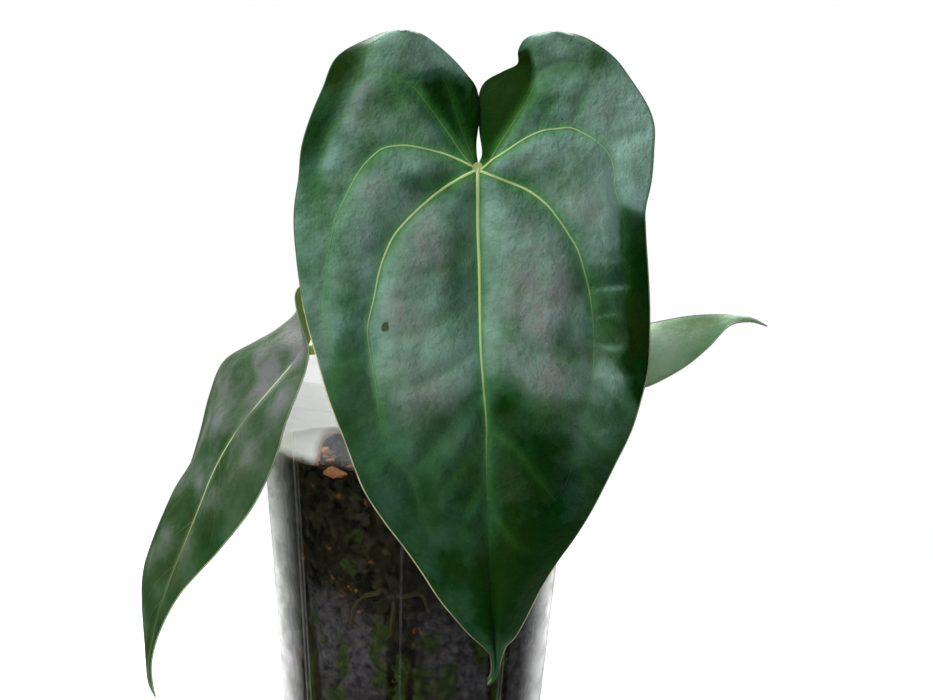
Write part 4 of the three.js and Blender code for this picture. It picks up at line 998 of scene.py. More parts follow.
def blade_shell(name, halves, looks, thickness, edge_thickness, marks):
    """A closed blade from two grids of points that share their inner points from the joint to
    the tip. looks is the way the upper face looks; marks are two grids of values for each name."""
    (left, right) = halves
    columns = left.shape[1]
    index_left = np.arange(left.shape[0] * columns).reshape(left.shape[:2])
    index_right = np.arange(right.shape[0] * columns).reshape(right.shape[:2]) + index_left.size
    shift = len(left) - len(right)
    for i in range(len(right)):
        if i + shift >= 0 and np.linalg.norm(left[i + shift, 0] - right[i, 0]) < 1e-6:
            index_right[i, 0] = index_left[i + shift, 0]
    index_left[-1, :] = index_left[-1, 0]
    index_right[-1, :] = index_left[-1, 0]
    points = np.vstack([left.reshape(-1, 3), right.reshape(-1, 3)])
    share = np.linspace(0, 1, columns)
    both = np.concatenate([np.broadcast_to(share, left.shape[:2]).ravel(),
                           np.broadcast_to(share, right.shape[:2]).ravel()])
    values = {label: np.concatenate([g.ravel() for g in grids]) for label, grids in marks.items()}
    faces = []
    for index, flip in ((index_left, True), (index_right, False)):
        for i in range(index.shape[0] - 1):
            for j in range(columns - 1):
                corners = [index[i, j], index[i, j + 1], index[i + 1, j + 1], index[i + 1, j]]
                face = [c for k, c in enumerate(corners) if c != corners[k - 1]]
                faces.append(face[::-1] if flip else face)
    used = np.unique(np.concatenate(faces))
    renumber = np.full(len(points), -1)
    renumber[used] = np.arange(len(used))
    faces = [[renumber[c] for c in face] for face in faces]
    points, both = points[used], both[used]
    values = {label: v[used] for label, v in values.items()}
    normals = np.zeros_like(points)
    for face in faces:
        a, b, c = points[face[0]], points[face[1]], points[face[2]]
        across = np.cross(b - a, c - a)
        for corner in face:
            normals[corner] += across
    if normals.sum(axis=0) @ np.array(looks) < 0:
        faces = [face[::-1] for face in faces]
        normals = -normals
    normals /= np.linalg.norm(normals, axis=1)[:, None]
    half = (edge_thickness + (thickness - edge_thickness) * (1 - both ** 10)) / 2
    upper = points + normals * half[:, None]
    lower = points - normals * half[:, None]
    count = len(points)
    open_edges = {}
    for face in faces:
        for a, b in zip(face, face[1:] + face[:1]):
            if (b, a) in open_edges:
                del open_edges[(b, a)]
            else:
                open_edges[(a, b)] = True
    rim = [(b, a, a + count, b + count) for a, b in open_edges]
    under = [[c + count for c in face[::-1]] for face in faces]
    made = new_object(name, np.vstack([upper, lower]), [*faces, *under, *rim],
                      **{label: np.concatenate([v, v]) for label, v in values.items()})
    kinds = [0] * len(faces) + [1] * len(under) + [2] * len(rim)
    made.data.polygons.foreach_set("material_index", kinds)
    made.data.polygons.foreach_set("use_smooth", [kind < 2 for kind in kinds])
    return made


def bloom(tree, level, dark, middle, pale):
    """A leaf's colour from deep green at 0, where shade is painted, through leaf green, to its waxy
    bloom with painted sheen at 1.
    """
    colours = add(tree, "ShaderNodeValToRGB", {0: level})
    colours.color_ramp.elements[0].color = linear(dark)
    colours.color_ramp.elements[1].color = linear(pale)
    colours.color_ramp.elements.new(0.5).color = linear(middle)
    return colours.outputs[0]


def leaf_face(name, dark, middle, pale, purple, vein, roughness, bump, gloss):
    """Upper face of a blade: a leathery skin with a waxy bloom and painted sheen. tone runs from deep
    green, where shade is painted, to grey-green bloom with painted sheen; purple tints it between
    the veins where that sheen shows, and vein is a halo beside them. The skin is quilted at 4 mm
    and grained at under 1 mm."""
    made, tree, output = new_material(name)
    place = add(tree, "ShaderNodeTexCoord").outputs["Object"]
    tone, purple_amount, near_vein, scar = (
        add(tree, "ShaderNodeAttribute", attribute_name=label).outputs["Fac"]
        for label in ("tone", "purple", "vein", "scar"))
    cloud = add(tree, "ShaderNodeTexNoise", {"Vector": place, "Scale": 75, "Detail": 7, "Roughness": 0.6})
    mottle = add(tree, "ShaderNodeTexNoise", {"Vector": place, "Scale": 420, "Detail": 6, "Roughness": 0.6})
    uneven = add(tree, "ShaderNodeMath", {0: cloud.outputs[0], 1: 0.5, 2: -0.25}, operation="MULTIPLY_ADD")
    spotty = add(tree, "ShaderNodeMath", {0: mottle.outputs[0], 1: 0.16, 2: -0.08}, operation="MULTIPLY_ADD")
    both = add(tree, "ShaderNodeMath", {0: uneven.outputs[0], 1: spotty.outputs[0]}, operation="ADD")
    level = add(tree, "ShaderNodeMath", {0: tone, 1: both.outputs[0]}, operation="ADD", use_clamp=True)
    green = bloom(tree, level.outputs[0], dark, middle, pale)
    blotches = add(tree, "ShaderNodeTexNoise", {"Vector": place, "Scale": 62, "Detail": 8, "Roughness": 0.62,
                                                "Distortion": 0.4})
    patch = add(tree, "ShaderNodeMapRange", {0: blotches.outputs[0], 1: 0.36, 2: 0.6, 3: 0.12, 4: 1.0})
    weight = add(tree, "ShaderNodeMath", {0: patch.outputs[0], 1: purple_amount}, operation="MULTIPLY")
    sheen_shown = add(tree, "ShaderNodeMapRange", {0: level.outputs[0], 1: 0.2, 2: 0.6, 3: 0.0, 4: 1.0})
    purple_now = add(tree, "ShaderNodeMath", {0: weight.outputs[0], 1: sheen_shown.outputs[0]},
                     operation="MULTIPLY", use_clamp=True)
    blotched = add(tree, "ShaderNodeMix", {0: purple_now.outputs[0], 6: green,
                                           7: linear(purple)}, data_type="RGBA")
    hues = add(tree, "ShaderNodeTexNoise", {"Vector": place, "Scale": 38, "Detail": 6, "Roughness": 0.6})
    hue = add(tree, "ShaderNodeMapRange", {0: hues.outputs[0], 1: 0.3, 2: 0.7, 3: 0.46, 4: 0.54})
    varied = add(tree, "ShaderNodeHueSaturation", {"Hue": hue.outputs[0], "Color": blotched.outputs[2]})
    veined = add(tree, "ShaderNodeMix", {0: near_vein, 6: varied.outputs[0], 7: linear(vein)},
                 data_type="RGBA")
    healed = add(tree, "ShaderNodeMapRange", {0: scar, 1: 0.35, 2: 0.65, 3: 0.0, 4: 0.85})
    scarred = add(tree, "ShaderNodeMix", {0: healed.outputs[0], 6: veined.outputs[2],
                                          7: linear("#2b3a1c")}, data_type="RGBA")
    cells = add(tree, "ShaderNodeTexVoronoi", {"Vector": place, "Scale": 75})
    rare = add(tree, "ShaderNodeSeparateColor", {0: cells.outputs["Color"]}).outputs[0]
    size = add(tree, "ShaderNodeMapRange", {0: rare, 1: 0.9, 2: 1.0, 3: 0.0, 4: 0.075})
    speck = add(tree, "ShaderNodeMath", {0: cells.outputs["Distance"], 1: size.outputs[0]},
                operation="LESS_THAN")
    faint = add(tree, "ShaderNodeMath", {0: speck.outputs[0], 1: 0.6}, operation="MULTIPLY")
    specked = add(tree, "ShaderNodeMix", {0: faint.outputs[0], 6: scarred.outputs[2],
                                          7: linear("#232c16")}, data_type="RGBA")
    quilt = add(tree, "ShaderNodeTexNoise", {"Vector": place, "Scale": 170, "Detail": 4, "Roughness": 0.55})
    grain = add(tree, "ShaderNodeTexNoise", {"Vector": place, "Scale": 1300, "Detail": 2})
    warped = add(tree, "ShaderNodeMix", {0: 0.012, 4: place, 5: mottle.outputs["Color"]},
                 data_type="VECTOR")
    areoles = add(tree, "ShaderNodeTexVoronoi", {"Vector": warped.outputs[1], "Scale": 260},
                  feature="DISTANCE_TO_EDGE")
    seam = add(tree, "ShaderNodeMapRange", {0: areoles.outputs[0], 1: 0.0, 2: 0.3, 3: 0.0, 4: 0.05})
    skin_height = add(tree, "ShaderNodeMath", {0: quilt.outputs[0], 1: seam.outputs[0]}, operation="ADD")
    coarse = add(tree, "ShaderNodeBump", {"Strength": bump, "Distance": 0.0024,
                                          "Height": skin_height.outputs[0]})
    relief = add(tree, "ShaderNodeBump", {"Strength": bump, "Distance": 0.00012,
                                          "Height": grain.outputs[0], "Normal": coarse.outputs[0]})
    dull = add(tree, "ShaderNodeMapRange", {0: level.outputs[0], 1: 0.1, 2: 0.5,
                                            3: roughness + 0.3, 4: roughness})
    skin = add(tree, "ShaderNodeBsdfPrincipled", {
        "Base Color": specked.outputs[2], "Roughness": dull.outputs[0], "IOR": 1.45,
        "Specular IOR Level": gloss, "Normal": relief.outputs[0]})
    tree.links.new(skin.outputs[0], output.inputs[0])
    return made


def leaf_back(name, deep, pale):
    """Underside of a blade: paler and more matt, with the veins' halo paler still."""
    made, tree, output = new_material(name)
    place = add(tree, "ShaderNodeTexCoord").outputs["Object"]
    near_vein = add(tree, "ShaderNodeAttribute", attribute_name="vein").outputs["Fac"]
    cloud = add(tree, "ShaderNodeTexNoise", {"Vector": place, "Scale": 110, "Detail": 6})
    colour = add(tree, "ShaderNodeMix", {0: cloud.outputs[0], 6: linear(deep), 7: linear(pale)},
                 data_type="RGBA")
    veined = add(tree, "ShaderNodeMix", {0: near_vein, 6: colour.outputs[2], 7: linear("#a9bb78")},
                 data_type="RGBA")
    quilt = add(tree, "ShaderNodeTexNoise", {"Vector": place, "Scale": 260, "Detail": 4})
    relief = add(tree, "ShaderNodeBump", {"Strength": 0.35, "Distance": 0.0007,
                                          "Height": quilt.outputs[0]})
    skin = add(tree, "ShaderNodeBsdfPrincipled", {
        "Base Color": veined.outputs[2], "Roughness": 0.55, "Normal": relief.outputs[0]})
    tree.links.new(skin.outputs[0], output.inputs[0])
    return made


def leaf_margin():
    """The blade's edge: a thin, gristly line, from leaf green to cream where pale is 1."""
    made, tree, output = new_material("gristly_leaf_margin")
    place = add(tree, "ShaderNodeTexCoord").outputs["Object"]
    pale = add(tree, "ShaderNodeAttribute", attribute_name="pale").outputs["Fac"]
    uneven = add(tree, "ShaderNodeTexNoise", {"Vector": place, "Scale": 160, "Detail": 4})
    weight = add(tree, "ShaderNodeMapRange", {0: uneven.outputs[0], 1: 0.3, 2: 0.6, 3: 0.3, 4: 1.0})
    factor = add(tree, "ShaderNodeMath", {0: weight.outputs[0], 1: pale}, operation="MULTIPLY")
    colour = add(tree, "ShaderNodeMix", {0: factor.outputs[0], 6: linear("#3f6640"),
                                         7: linear("#cfc795")}, data_type="RGBA")
    edge = add(tree, "ShaderNodeBsdfPrincipled", {"Base Color": colour.outputs[2], "Roughness": 0.5})
    tree.links.new(edge.outputs[0], output.inputs[0])
    return made


def rib_skin(name, rib, greens):
    """A vein's rib: firm and smooth, pale yellow-green at the joint and leaf-coloured further on,
    with the painted sheen and shade of the blade beside it.
    """
    made, tree, output = new_material(name)
    fade, tone = (add(tree, "ShaderNodeAttribute", attribute_name=label).outputs["Fac"]
                  for label in ("pale", "tone"))
    colour = add(tree, "ShaderNodeMix", {0: fade, 6: bloom(tree, tone, *greens), 7: linear(rib)},
                 data_type="RGBA")
    skin = add(tree, "ShaderNodeBsdfPrincipled", {
        "Base Color": colour.outputs[2], "Roughness": 0.45, "Specular IOR Level": 0.3})
    tree.links.new(skin.outputs[0], output.inputs[0])
    return made


def front_tone(x, z):
    """How much waxy bloom and painted sheen shows at each point, in mm from the joint, and where
    shade is painted: 0 is deep green. The places are shifted a little by noise, so that no patch
    has an even outline."""
    stir = np.array([noise.noise_vector(Vector((a / 11, 5.3, b / 11))) for a, b in zip(x.ravel(), z.ravel())])
    stir = stir.reshape(*x.shape, 3) * np.clip(np.hypot(x, z) / 20 - 0.3, 0, 1)[..., None]
    x = x + 3.0 * stir[..., 0]
    z = z + 3.0 * stir[..., 2]
    tone = np.interp(z, *zip(*FRONT_BLOOM_AND_SHEEN))
    # Each zone of painted shade lowers the tone towards deep green.
    for corners, softness, amount in FRONT_PAINTED_SHADE:
        tone = tone - amount * soft_area(corners, softness, x, z)
    # Patches of painted sheen raise the tone and patches of painted shade lower it.
    for px, pz, wide, high, amount in FRONT_SHEEN_AND_SHADE_PATCHES:
        tone = tone + amount * np.exp(-((x - px) / wide) ** 2 - ((z - pz) / high) ** 2)
    return tone


midrib_line = np.array([row[:2] for row in FRONT_BODY[:-4]])
front_veins = {"midrib": (midrib_line, *MIDRIB)}
front_veins.update({name: (np.array(vein[0]), *vein[1:]) for name, vein in FRONT_VEINS.items()})
for i, (x1, z1, x2, z2, sag, depth) in enumerate(CROSS_VEINS):
    middle = ((x1 + x2) / 2, (z1 + z2) / 2 + sag)
    front_veins[f"cross_{i}"] = (np.array([(x1, z1), middle, (x2, z2)]), (0.1, 0.07), (0.03, 0), depth, 2.2)
front_lines = {name: smooth_line(vein[0], 2.0) for name, vein in front_veins.items()}
front_halves = []
front_marks = {"tone": [], "purple": [], "vein": [], "scar": []}
for lobe, side in ((FRONT_LEFT_LOBE, -1), (FRONT_RIGHT_LOBE, 1)):
    grid, share, width = front_half(lobe, side)
    x = grid[..., 0] - FRONT_JOINT[0]
    z = grid[..., 2] - FRONT_JOINT[2]
    crease = np.zeros_like(x)
    valley = np.zeros_like(x)
    halo = np.zeros_like(x)
    beside = np.zeros_like(x)
    for name, (_, radii, pale, depth, spread) in front_veins.items():
        gap, along = distance_to(front_lines[name], x, z)
        paleness = np.interp(along, np.linspace(0, 1, len(pale)), pale)
        fading = 1 - (1.15 if name == "midrib" else 0.3) * along
        crease = np.maximum(crease, 1.7 * depth * np.maximum(fading, 0) * np.exp(-(gap / spread) ** 2))
        broad, reach = FRONT_VALLEYS.get(name, (0.7, 4))
        valley = np.maximum(valley, broad * np.maximum(fading, 0) * np.exp(-(gap / reach) ** 2))
        halo = np.maximum(halo, 0.8 * paleness ** 0.5 * np.exp(-(gap / 1.9) ** 2))
        beside = np.maximum(beside, paleness ** 0.5 * np.exp(-(gap / 5) ** 2))
    roll = np.array([noise.noise(Vector((a / 17, 3.1, b / 17))) + 0.8 * noise.noise(Vector((a / 8, 7.7, b / 8)))
                     for a, b in zip(x.ravel(), z.ravel())]).reshape(x.shape)
    crease *= np.clip(width / 16 - 0.1, 0, 1)
    valley *= np.clip(width / 45 - 0.2, 0, 1) * ramp(2, 16, np.hypot(x, z))
    grid[..., 1] += crease + valley - 1.1 * roll * np.sin(np.pi * np.clip(share, 0, 1))
    # tone carries the painted sheen and shade; it also follows the noise that rolls the blade.
    tone = front_tone(x, z) + 0.12 * roll
    purple = np.zeros_like(x)
    for px, pz, wide, high, amount in FRONT_PURPLE:
        purple = np.maximum(purple, amount * np.exp(-((x - px) / wide) ** 2 - ((z - pz) / high) ** 2))
    front_halves.append(grid * MM)
    front_marks["tone"].append(tone)
    front_marks["purple"].append(purple * (1 - beside))
    front_marks["vein"].append(halo)
    front_marks["scar"].append(soft_area(FRONT_SCAR, 0.4, x, z))
front_blade = blade_shell("front_blade", front_halves, (0, -1, 0), BLADE_THICKNESS, 0.35 * MM, front_marks)
margin_skin = leaf_margin()
# Deep green, also where shade is painted; leaf green; and the grey-green of the bloom with its painted sheen.
FRONT_GREENS = ("#062b00", "#375d40", "#87ab9b")
front_blade.data.materials.append(leaf_face(
    "leathery_leaf_front", *FRONT_GREENS, "#767c79", "#4a8f3a", 0.42, 1.0, 0.07))
front_blade.data.materials.append(leaf_back("pale_leaf_underside", "#4f6b3c", "#6f8a55"))
front_blade.data.materials.append(margin_skin)
carried(front_blade, "blade_front", "leaf_blade_front")

vein_tree = sweep_tree("vein_ribs", 10)
surface = BVHTree.FromPolygons([v.co for v in front_blade.data.vertices],
                               [p.vertices[:] for p in front_blade.data.polygons])
rib_lines, rib_radii, rib_pale, rib_tone = [], [], [], []
for name, (_, radii, pale, _, _) in front_veins.items():
    if name.startswith("cross"):
        continue
    line = []
    rib_tone.append([])
    for x, z in smooth_line(front_veins[name][0], 1.2):
        start = Vector((FRONT_JOINT[0] + x, -120, FRONT_JOINT[2] + z)) * MM
        place, normal, _, _ = surface.ray_cast(start, Vector((0, 1, 0)))
        if place is not None:
            line.append(place)
            rib_tone[-1].append(float(front_tone(np.array([x]), np.array([z]))[0]))
    share = np.linspace(0, 1, len(line))
    radius = np.interp(share, np.linspace(0, 1, len(radii)), radii) * MM
    rib_lines.append(np.array(line) + np.array([0, 0.35, 0]) * radius[:, None])
    rib_radii.append(radius)
    rib_pale.append(np.interp(share, np.linspace(0, 1, len(pale)), pale))
front_ribs = swept("front_blade_veins", rib_lines, rib_radii, vein_tree,
                   rib_skin("vein_rib_front", "#c3d596", FRONT_GREENS), pale=rib_pale, tone=rib_tone)
carried(front_ribs, "blade_front")


def margin_cord(name, halves, pale):
    """The thin, rounded edge all round a blade. pale gives each half's paleness by row."""
    lines, radii, paleness = [], [], []
    for grid, light in zip(halves, pale):
        line = grid[:, -1]
        lines.append(line)
        radii.append(np.full(len(line), MARGIN_RADIUS) * np.interp(
            np.arange(len(line)), [0, 6, len(line) - 6, len(line) - 1], [0.6, 1, 1, 0.6]))
        paleness.append(light)
    return swept(name, lines, radii, vein_tree, margin_skin, pale=paleness)


front_pale = []
for grid, side in zip(front_halves, (-1, 1)):
    z = grid[:, -1, 2] / MM - FRONT_JOINT[2]
    front_pale.append(ramp(-25, -75, z) if side < 0 else 0.25 * ramp(-20, -60, z) + 0.75 * ramp(-140, -175, z))
front_margin = margin_cord("front_blade_margin", front_halves, front_pale)
carried(front_margin, "blade_front")

# Side blades: narrower leaves seen from the side. The left one hangs down over the pot, the
# right one reaches back to the right. Duller grey-green, made as the front blade is; each half
# swells a little between midrib and margin, and the side veins come off the midrib by a rule.
SIDE_SWELL = 0.09
SIDE_WAVE = 0.02
SIDE_COLUMNS = 34
LEFT_JOINT = 4
RIGHT_JOINT = 3
# Rows in mm: inner x, y, z, margin x, y, z
LEFT_NEAR = [
    (-41.6, -55.4, 186.4, -43.4, -58, 186.9), (-40.7, -54, 182.4, -45.7, -59.4, 185),
    (-40.3, -52, 176.9, -46.5, -60, 181.2), (-40.9, -48, 167.5, -44.5, -61.7, 172.6),
    (-43.2, -45, 160, -41, -62.1, 163.2), (-50.1, -45, 151.6, -41.5, -66.5, 155.6),
    (-60.1, -45, 139.5, -43.9, -72.6, 147.5), (-69.6, -46, 126.8, -47.9, -78.1, 136.4),
    (-77.7, -46, 112.3, -52.1, -78.8, 121.1), (-83.9, -45, 96.4, -60.5, -77.4, 103),
    (-90.3, -43, 79.8, -72.9, -71.6, 85.7), (-94, -42, 70.6, -81, -66.8, 75.9),
    (-97.2, -41, 61.4, -88.7, -60.7, 66.3), (-100, -40, 51.8, -94.8, -53.5, 55.9),
    (-102.3, -39, 41.3, -100, -46.7, 44.1), (-104.3, -38, 32, -103, -41.6, 32.9),
    (-104, -37, 23.5, -103, -38.6, 23.6), (-102.1, -36, 17.1, -102.1, -36, 17.1)]
LEFT_FAR = [
    (-42.6, -30.5, 178.2, -44.2, -26, 178.2), (-41.8, -33, 174.4, -47.4, -18, 175.2),
    (-41.5, -38, 169.2, -51.8, -13.1, 168.9), (-41.7, -42, 164.5, -58.5, -12.1, 163.6),
    (-43.2, -45, 160, -65.8, -13.3, 159.3), (-50.1, -45, 151.6, -78.9, -11.1, 150.6),
    (-60.1, -45, 139.5, -85.2, -6.6, 135.7), (-69.6, -46, 126.8, -89.1, -5.5, 119.7),
    (-77.7, -46, 112.3, -94.3, -6.4, 102.9), (-83.9, -45, 96.4, -102.7, -10.2, 87.7),
    (-90.3, -43, 79.8, -108.6, -16.4, 70.9), (-94, -42, 70.6, -109.9, -20.5, 62.2),
    (-97.2, -41, 61.4, -109.4, -24.9, 54.1), (-100, -40, 51.8, -108.3, -28.9, 46),
    (-102.3, -39, 41.3, -106.9, -32.9, 37.6), (-104.3, -38, 32, -106, -34.8, 30.3),
    (-104, -37, 23.5, -104.9, -35.6, 22.5), (-102.1, -36, 17.1, -102.1, -36, 17.1)]
RIGHT_NEAR = [
    (8, 12.5, 160.8, 7.9, 7, 160.4), (13, 19, 161, 10.8, 0.5, 159.6), (24, 26, 161, 22, -5.5, 158.6),
    (35, 30, 161.2, 36, -8, 158.2), (46.7, 32, 162, 47.5, -7, 157.6), (56.1, 33.5, 163, 57, -5.2, 155.6),
    (66, 35, 163.5, 64.5, -2, 151.8), (75, 36, 163.6, 72.8, 2.2, 146.3), (83.6, 37, 163.7, 81.6, 8.4, 142),
    (91.3, 38, 164.2, 90.4, 14.3, 140.6), (98.6, 38.5, 165.4, 97.9, 19.6, 141.5),
    (111.9, 39.5, 168.2, 111.8, 26.7, 148.4), (123, 40, 169.4, 122.2, 31.5, 156.5),
    (133.3, 40, 169.4, 130.8, 33, 165.6), (141.5, 40, 168.6, 139.5, 37.3, 167.5),
    (148.1, 40, 165.3, 148.1, 40, 165.3)]
RIGHT_FAR = [
    (9.5, 45, 156.8, 9.2, 51, 155), (13.5, 39.5, 158.8, 12.6, 58, 152.6), (24, 33.5, 160.6, 24, 64.5, 150.6),
    (35, 30, 161.2, 37, 67, 149.6), (46.7, 32, 162, 49, 69.5, 150.2), (56.1, 33.5, 163, 59, 71.5, 150.8),
    (66, 35, 163.5, 68, 72.5, 149.8), (75, 36, 163.6, 76, 72, 148.4), (83.6, 37, 163.7, 84.5, 70.5, 147.6),
    (91.3, 38, 164.2, 93, 68.5, 147.6), (98.6, 38.5, 165.4, 101, 65, 149),
    (111.9, 39.5, 168.2, 115, 57, 155), (123, 40, 169.4, 125.5, 49.5, 161.4),
    (133.3, 40, 169.4, 134.6, 44.4, 165.8), (141.5, 40, 168.6, 142, 41.8, 166.8),
    (148.1, 40, 165.3, 148.1, 40, 165.3)]
# Half, joint row and the way each half swells; the way the upper face looks
SIDE_BLADES = {
    "left": ([LEFT_FAR, LEFT_NEAR], LEFT_JOINT, [(-0.86, -0.35, 0.37)] * 2, (-0.86, -0.35, 0.37)),
    "right": ([RIGHT_NEAR, RIGHT_FAR], RIGHT_JOINT, [(0, -0.4, 0.9), (0, 0.4, 0.9)], (0, 0, 1)),
}


def side_half(rows, joint, swell):
    """One half's grid of points in mm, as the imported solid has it, and its share outwards."""
    filled = in_between(rows, joint, ROW_STEPS)
    inner, outer = filled[:, None, :3], filled[:, None, 3:]
    share = np.linspace(0, 1, SIDE_COLUMNS + 1)[None, :, None]
    width = np.linalg.norm(outer - inner, axis=-1, keepdims=True)
    row_place = (np.arange(len(filled)) * 2 / ROW_STEPS)[:, None, None]
    cushion = SIDE_SWELL * np.sin(np.pi * share)
    wave = SIDE_WAVE * np.sin(2 * np.pi * share) * np.sin(row_place)
    grid = inner + (outer - inner) * share + np.array(swell) * (cushion + wave) * width
    return grid, np.broadcast_to(share[..., 0], grid.shape[:2])


def side_tone(row_share):
    """A side blade's bloom with painted sheen, less towards the tip."""
    return 0.66 - 0.72 * row_share


def side_vein_paths(joint, rows):
    """Side veins as (row, share) paths: some fan out at the joint, the others leave the midrib
    at even steps and curve towards the tip before they reach the margin."""
    first, last = joint * ROW_STEPS, rows - 1
    paths = []
    for reach in (-0.9, -0.45, 0.55):
        end = first + reach * joint * ROW_STEPS
        paths.append([(first + (end - first) * t ** 0.8, 0.92 * t) for t in np.linspace(0, 1, 12)])
    for start in np.arange(first + 8, last - 4 * ROW_STEPS, 1.5 * ROW_STEPS):
        paths.append([(start + 2.6 * ROW_STEPS * t ** 1.3, 0.9 * t) for t in np.linspace(0, 1, 12)])
    return paths


# The right blade's pale greens are partly painted sheen.
SIDE_GREENS = {
    "left": ("#142f0c", "#35512f", "#6e8069"), "right": ("#41653f", "#6d946c", "#93b290")}
side_face = {
    "left": leaf_face("dull_leaf_left", *SIDE_GREENS["left"], "#686a69", "#7a8c62", 0.5, 0.4, 0.07),
    "right": leaf_face("dull_leaf_right", *SIDE_GREENS["right"], "#8b978a", "#9db48f", 0.5, 0.3, 0.6),
}
side_back = leaf_back("side_leaf_underside", "#5c7a41", "#7f9a58")
for side, (tables, joint, swells, looks) in SIDE_BLADES.items():
    halves = []
    marks = {"tone": [], "purple": [], "vein": [], "scar": []}
    for rows, swell in zip(tables, swells):
        grid, share = side_half(rows, joint, swell)
        roll = np.array([noise.noise(Vector(p) / 14) for p in grid.reshape(-1, 3)]).reshape(share.shape)
        width = np.linalg.norm(grid[:, -1] - grid[:, 0], axis=-1)[:, None]
        ease = np.sin(np.pi * share) * np.clip(width / 30, 0, 1)
        grid = grid + (np.array(looks) / np.linalg.norm(looks)) * (0.9 * roll * ease)[..., None]
        row_share = np.linspace(0, 1, len(grid))[:, None]
        halves.append(grid * MM)
        # tone is the bloom with painted sheen, raised on the right blade.
        marks["tone"].append(side_tone(row_share) + 0.25 * roll + (0.18 if side == "right" else 0))
        marks["vein"].append(0.3 * np.exp(-(share * width / 1.4) ** 2))
        marks["purple"].append((1.9 - 1.4 * row_share) * (1 - 0.7 * share ** 3) + 0.2 * roll)
        marks["scar"].append(np.zeros_like(share))
    blade = blade_shell(f"{side}_blade", halves, looks, BLADE_THICKNESS, 0.35 * MM, marks)
    blade.data.materials.append(side_face[side])
    blade.data.materials.append(side_back)
    blade.data.materials.append(margin_skin)
    carried(blade, f"blade_{side}", f"leaf_blade_{side}")
    cord = margin_cord(f"{side}_blade_margin", halves, [np.full(len(grid), 0.25) for grid in halves])
    carried(cord, f"blade_{side}")
    up = np.array(looks) / np.linalg.norm(looks) * BLADE_THICKNESS / 2
    lines, radii, pale, tones = [], [], [], []
    midrib = halves[0][joint * ROW_STEPS:-2 * ROW_STEPS:4, 0] + up
    lines.append(midrib)
    radii.append(np.linspace(0.5, 0.12, len(midrib)) * MM)
    pale.append(np.interp(np.linspace(0, 1, len(midrib)), [0, 0.4, 0.6, 0.8], [1, 0.7, 0.25, 0]))
    tones.append(np.linspace(0.6, 0.3, len(midrib)))
    for grid in halves:
        for path in side_vein_paths(joint, len(grid)):
            line = []
            for row, place in path:
                if 0 <= row < len(grid) - 1:
                    across = place * (grid.shape[1] - 1)
                    i, j = int(row), min(int(across), grid.shape[1] - 2)
                    near = grid[i, j] + (grid[i, j + 1] - grid[i, j]) * (across - j)
                    far = grid[i + 1, j] + (grid[i + 1, j + 1] - grid[i + 1, j]) * (across - j)
                    line.append(near + (far - near) * (row - i) + up * 0.85)
            line = smooth_line(line, 1.5 * MM)
            lines.append(line)
            radii.append(np.linspace(0.14, 0.06, len(line)) * MM)
            pale.append(np.linspace(0.1, 0.0, len(line)))
            tones.append(np.full(len(line), side_tone(path[0][0] / len(grid))))
    ribs = swept(f"{side}_blade_veins", lines, radii, vein_tree, rib_skin(f"vein_rib_{side}", "#b9c898", SIDE_GREENS[side]), pale=pale, tone=tones)
    carried(ribs, f"blade_{side}")

# Floor: a round sheet of matt, pale board that thins out towards its rim. Stage only.
FLOOR_RADIUS = 0.5
FLOOR_SIDES = 96


def pale_board():
    """Matt pale board, which fades away at its rim so that no edge shows."""
    made, tree, output = new_material("pale_board")
    place = add(tree, "ShaderNodeTexCoord").outputs["Object"]
    away = add(tree, "ShaderNodeVectorMath", {0: place}, operation="LENGTH").outputs["Value"]
    solid = add(tree, "ShaderNodeMapRange", {0: away, 1: 0.2, 2: FLOOR_RADIUS - 0.02, 3: 1.0, 4: 0.0})
    board = add(tree, "ShaderNodeBsdfPrincipled", {
        "Base Color": linear("#e6e6e4"), "Roughness": 0.9, "Specular IOR Level": 0.1,
        "Alpha": solid.outputs[0]})
    tree.links.new(board.outputs[0], output.inputs[0])
    return made


floor_rim = [(FLOOR_RADIUS * math.sin(t), FLOOR_RADIUS * math.cos(t), 0)
             for t in np.arange(FLOOR_SIDES) * 2 * math.pi / FLOOR_SIDES]
floor = new_object("floor", floor_rim, [list(range(FLOOR_SIDES))[::-1]])
floor.data.materials.append(pale_board())
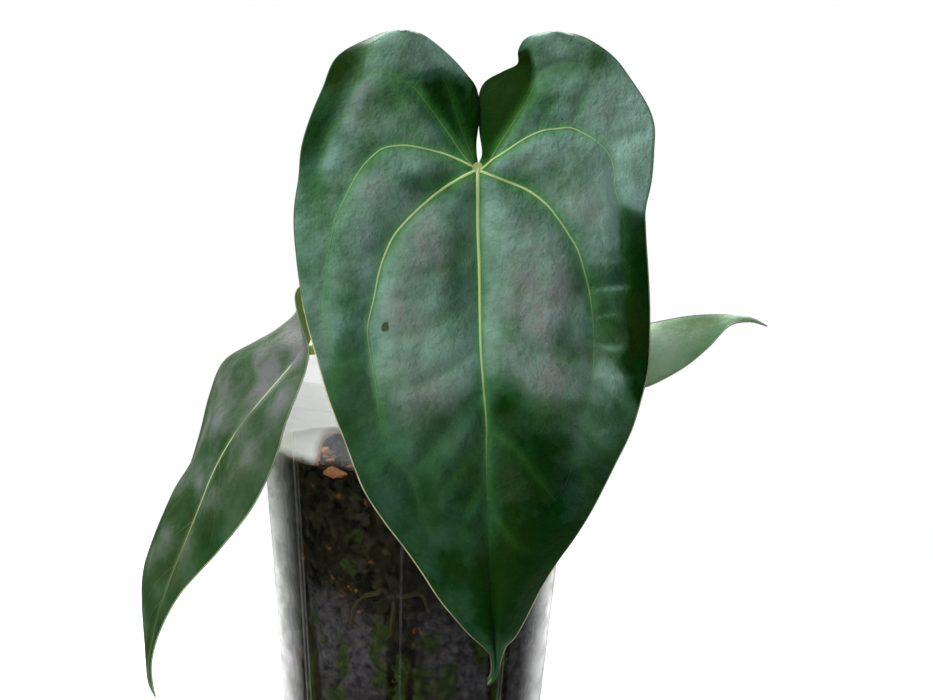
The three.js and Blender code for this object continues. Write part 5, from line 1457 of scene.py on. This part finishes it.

# Studio light: a large soft light above and to the left of the front, a weak one from the
# front near the camera, one overhead, and one behind the plant that whitens the floor. The room
# itself is dim.
LIGHTS = {
    "key": ((-1.2, -0.68, 0.72), (0.0, -0.07, 0.18), (0.8, 0.8), 15.5),
    "fill": ((-0.15, -1.4, 0.3), (0.0, 0.0, 0.12), (0.7, 0.7), 2.6),
    "overhead": ((-0.25, -0.32, 1.25), (0.0, -0.05, 0.15), (0.7, 0.7), 7.5),
    "floor_light": ((0.0, 0.6, 0.8), (0.0, 0.2, 0.05), (1.2, 0.5), 22),
}
for name, (place, target, size, power) in LIGHTS.items():
    lamp = bpy.data.lights.new(name, "AREA")
    lamp.shape = "RECTANGLE"
    lamp.size, lamp.size_y = size
    lamp.energy = power
    light = bpy.data.objects.new(name, lamp)
    light.location = place
    light.rotation_euler = (Vector(place) - Vector(target)).to_track_quat("Z", "Y").to_euler()
    light.visible_camera = False
    bpy.context.scene.collection.objects.link(light)
world = bpy.data.worlds.new("dim_room")
world.use_nodes = True
room = world.node_tree
room.nodes.clear()
seen = add(room, "ShaderNodeLightPath").outputs["Is Camera Ray"]
dim = add(room, "ShaderNodeBackground", {"Color": linear("#eef2f6"), "Strength": 0.25})
white = add(room, "ShaderNodeBackground", {"Color": linear("#ffffff"), "Strength": 1.0})
backdrop = add(room, "ShaderNodeMixShader", {0: seen, 1: dim.outputs[0], 2: white.outputs[0]})
add(room, "ShaderNodeOutputWorld", {0: backdrop.outputs[0]})
bpy.context.scene.world = world
bpy.context.scene.view_settings.view_transform = "Standard"

# Camera: at the photograph's place, level with the large leaf, looking slightly down and
# rolled a little, with an 85 mm lens.
CAMERA_PLACE = (0.0195, -0.9, 0.259)
CAMERA_PITCH = math.radians(6.5)
CAMERA_ROLL = math.radians(1.4)
lens = bpy.data.cameras.new("camera")
lens.lens = 85
lens.sensor_width = 36
ahead = Vector((0, math.cos(CAMERA_PITCH), -math.sin(CAMERA_PITCH)))
level_up = Vector((0, math.sin(CAMERA_PITCH), math.cos(CAMERA_PITCH)))
right = Vector((math.cos(CAMERA_ROLL), 0, 0)) + math.sin(CAMERA_ROLL) * level_up
up = -math.sin(CAMERA_ROLL) * Vector((1, 0, 0)) + math.cos(CAMERA_ROLL) * level_up
turn = Matrix((right, up, -ahead)).transposed().to_4x4()
camera = bpy.data.objects.new("camera", lens)
camera.matrix_world = Matrix.Translation(CAMERA_PLACE) @ turn
bpy.context.scene.collection.objects.link(camera)
bpy.context.scene.camera = camera
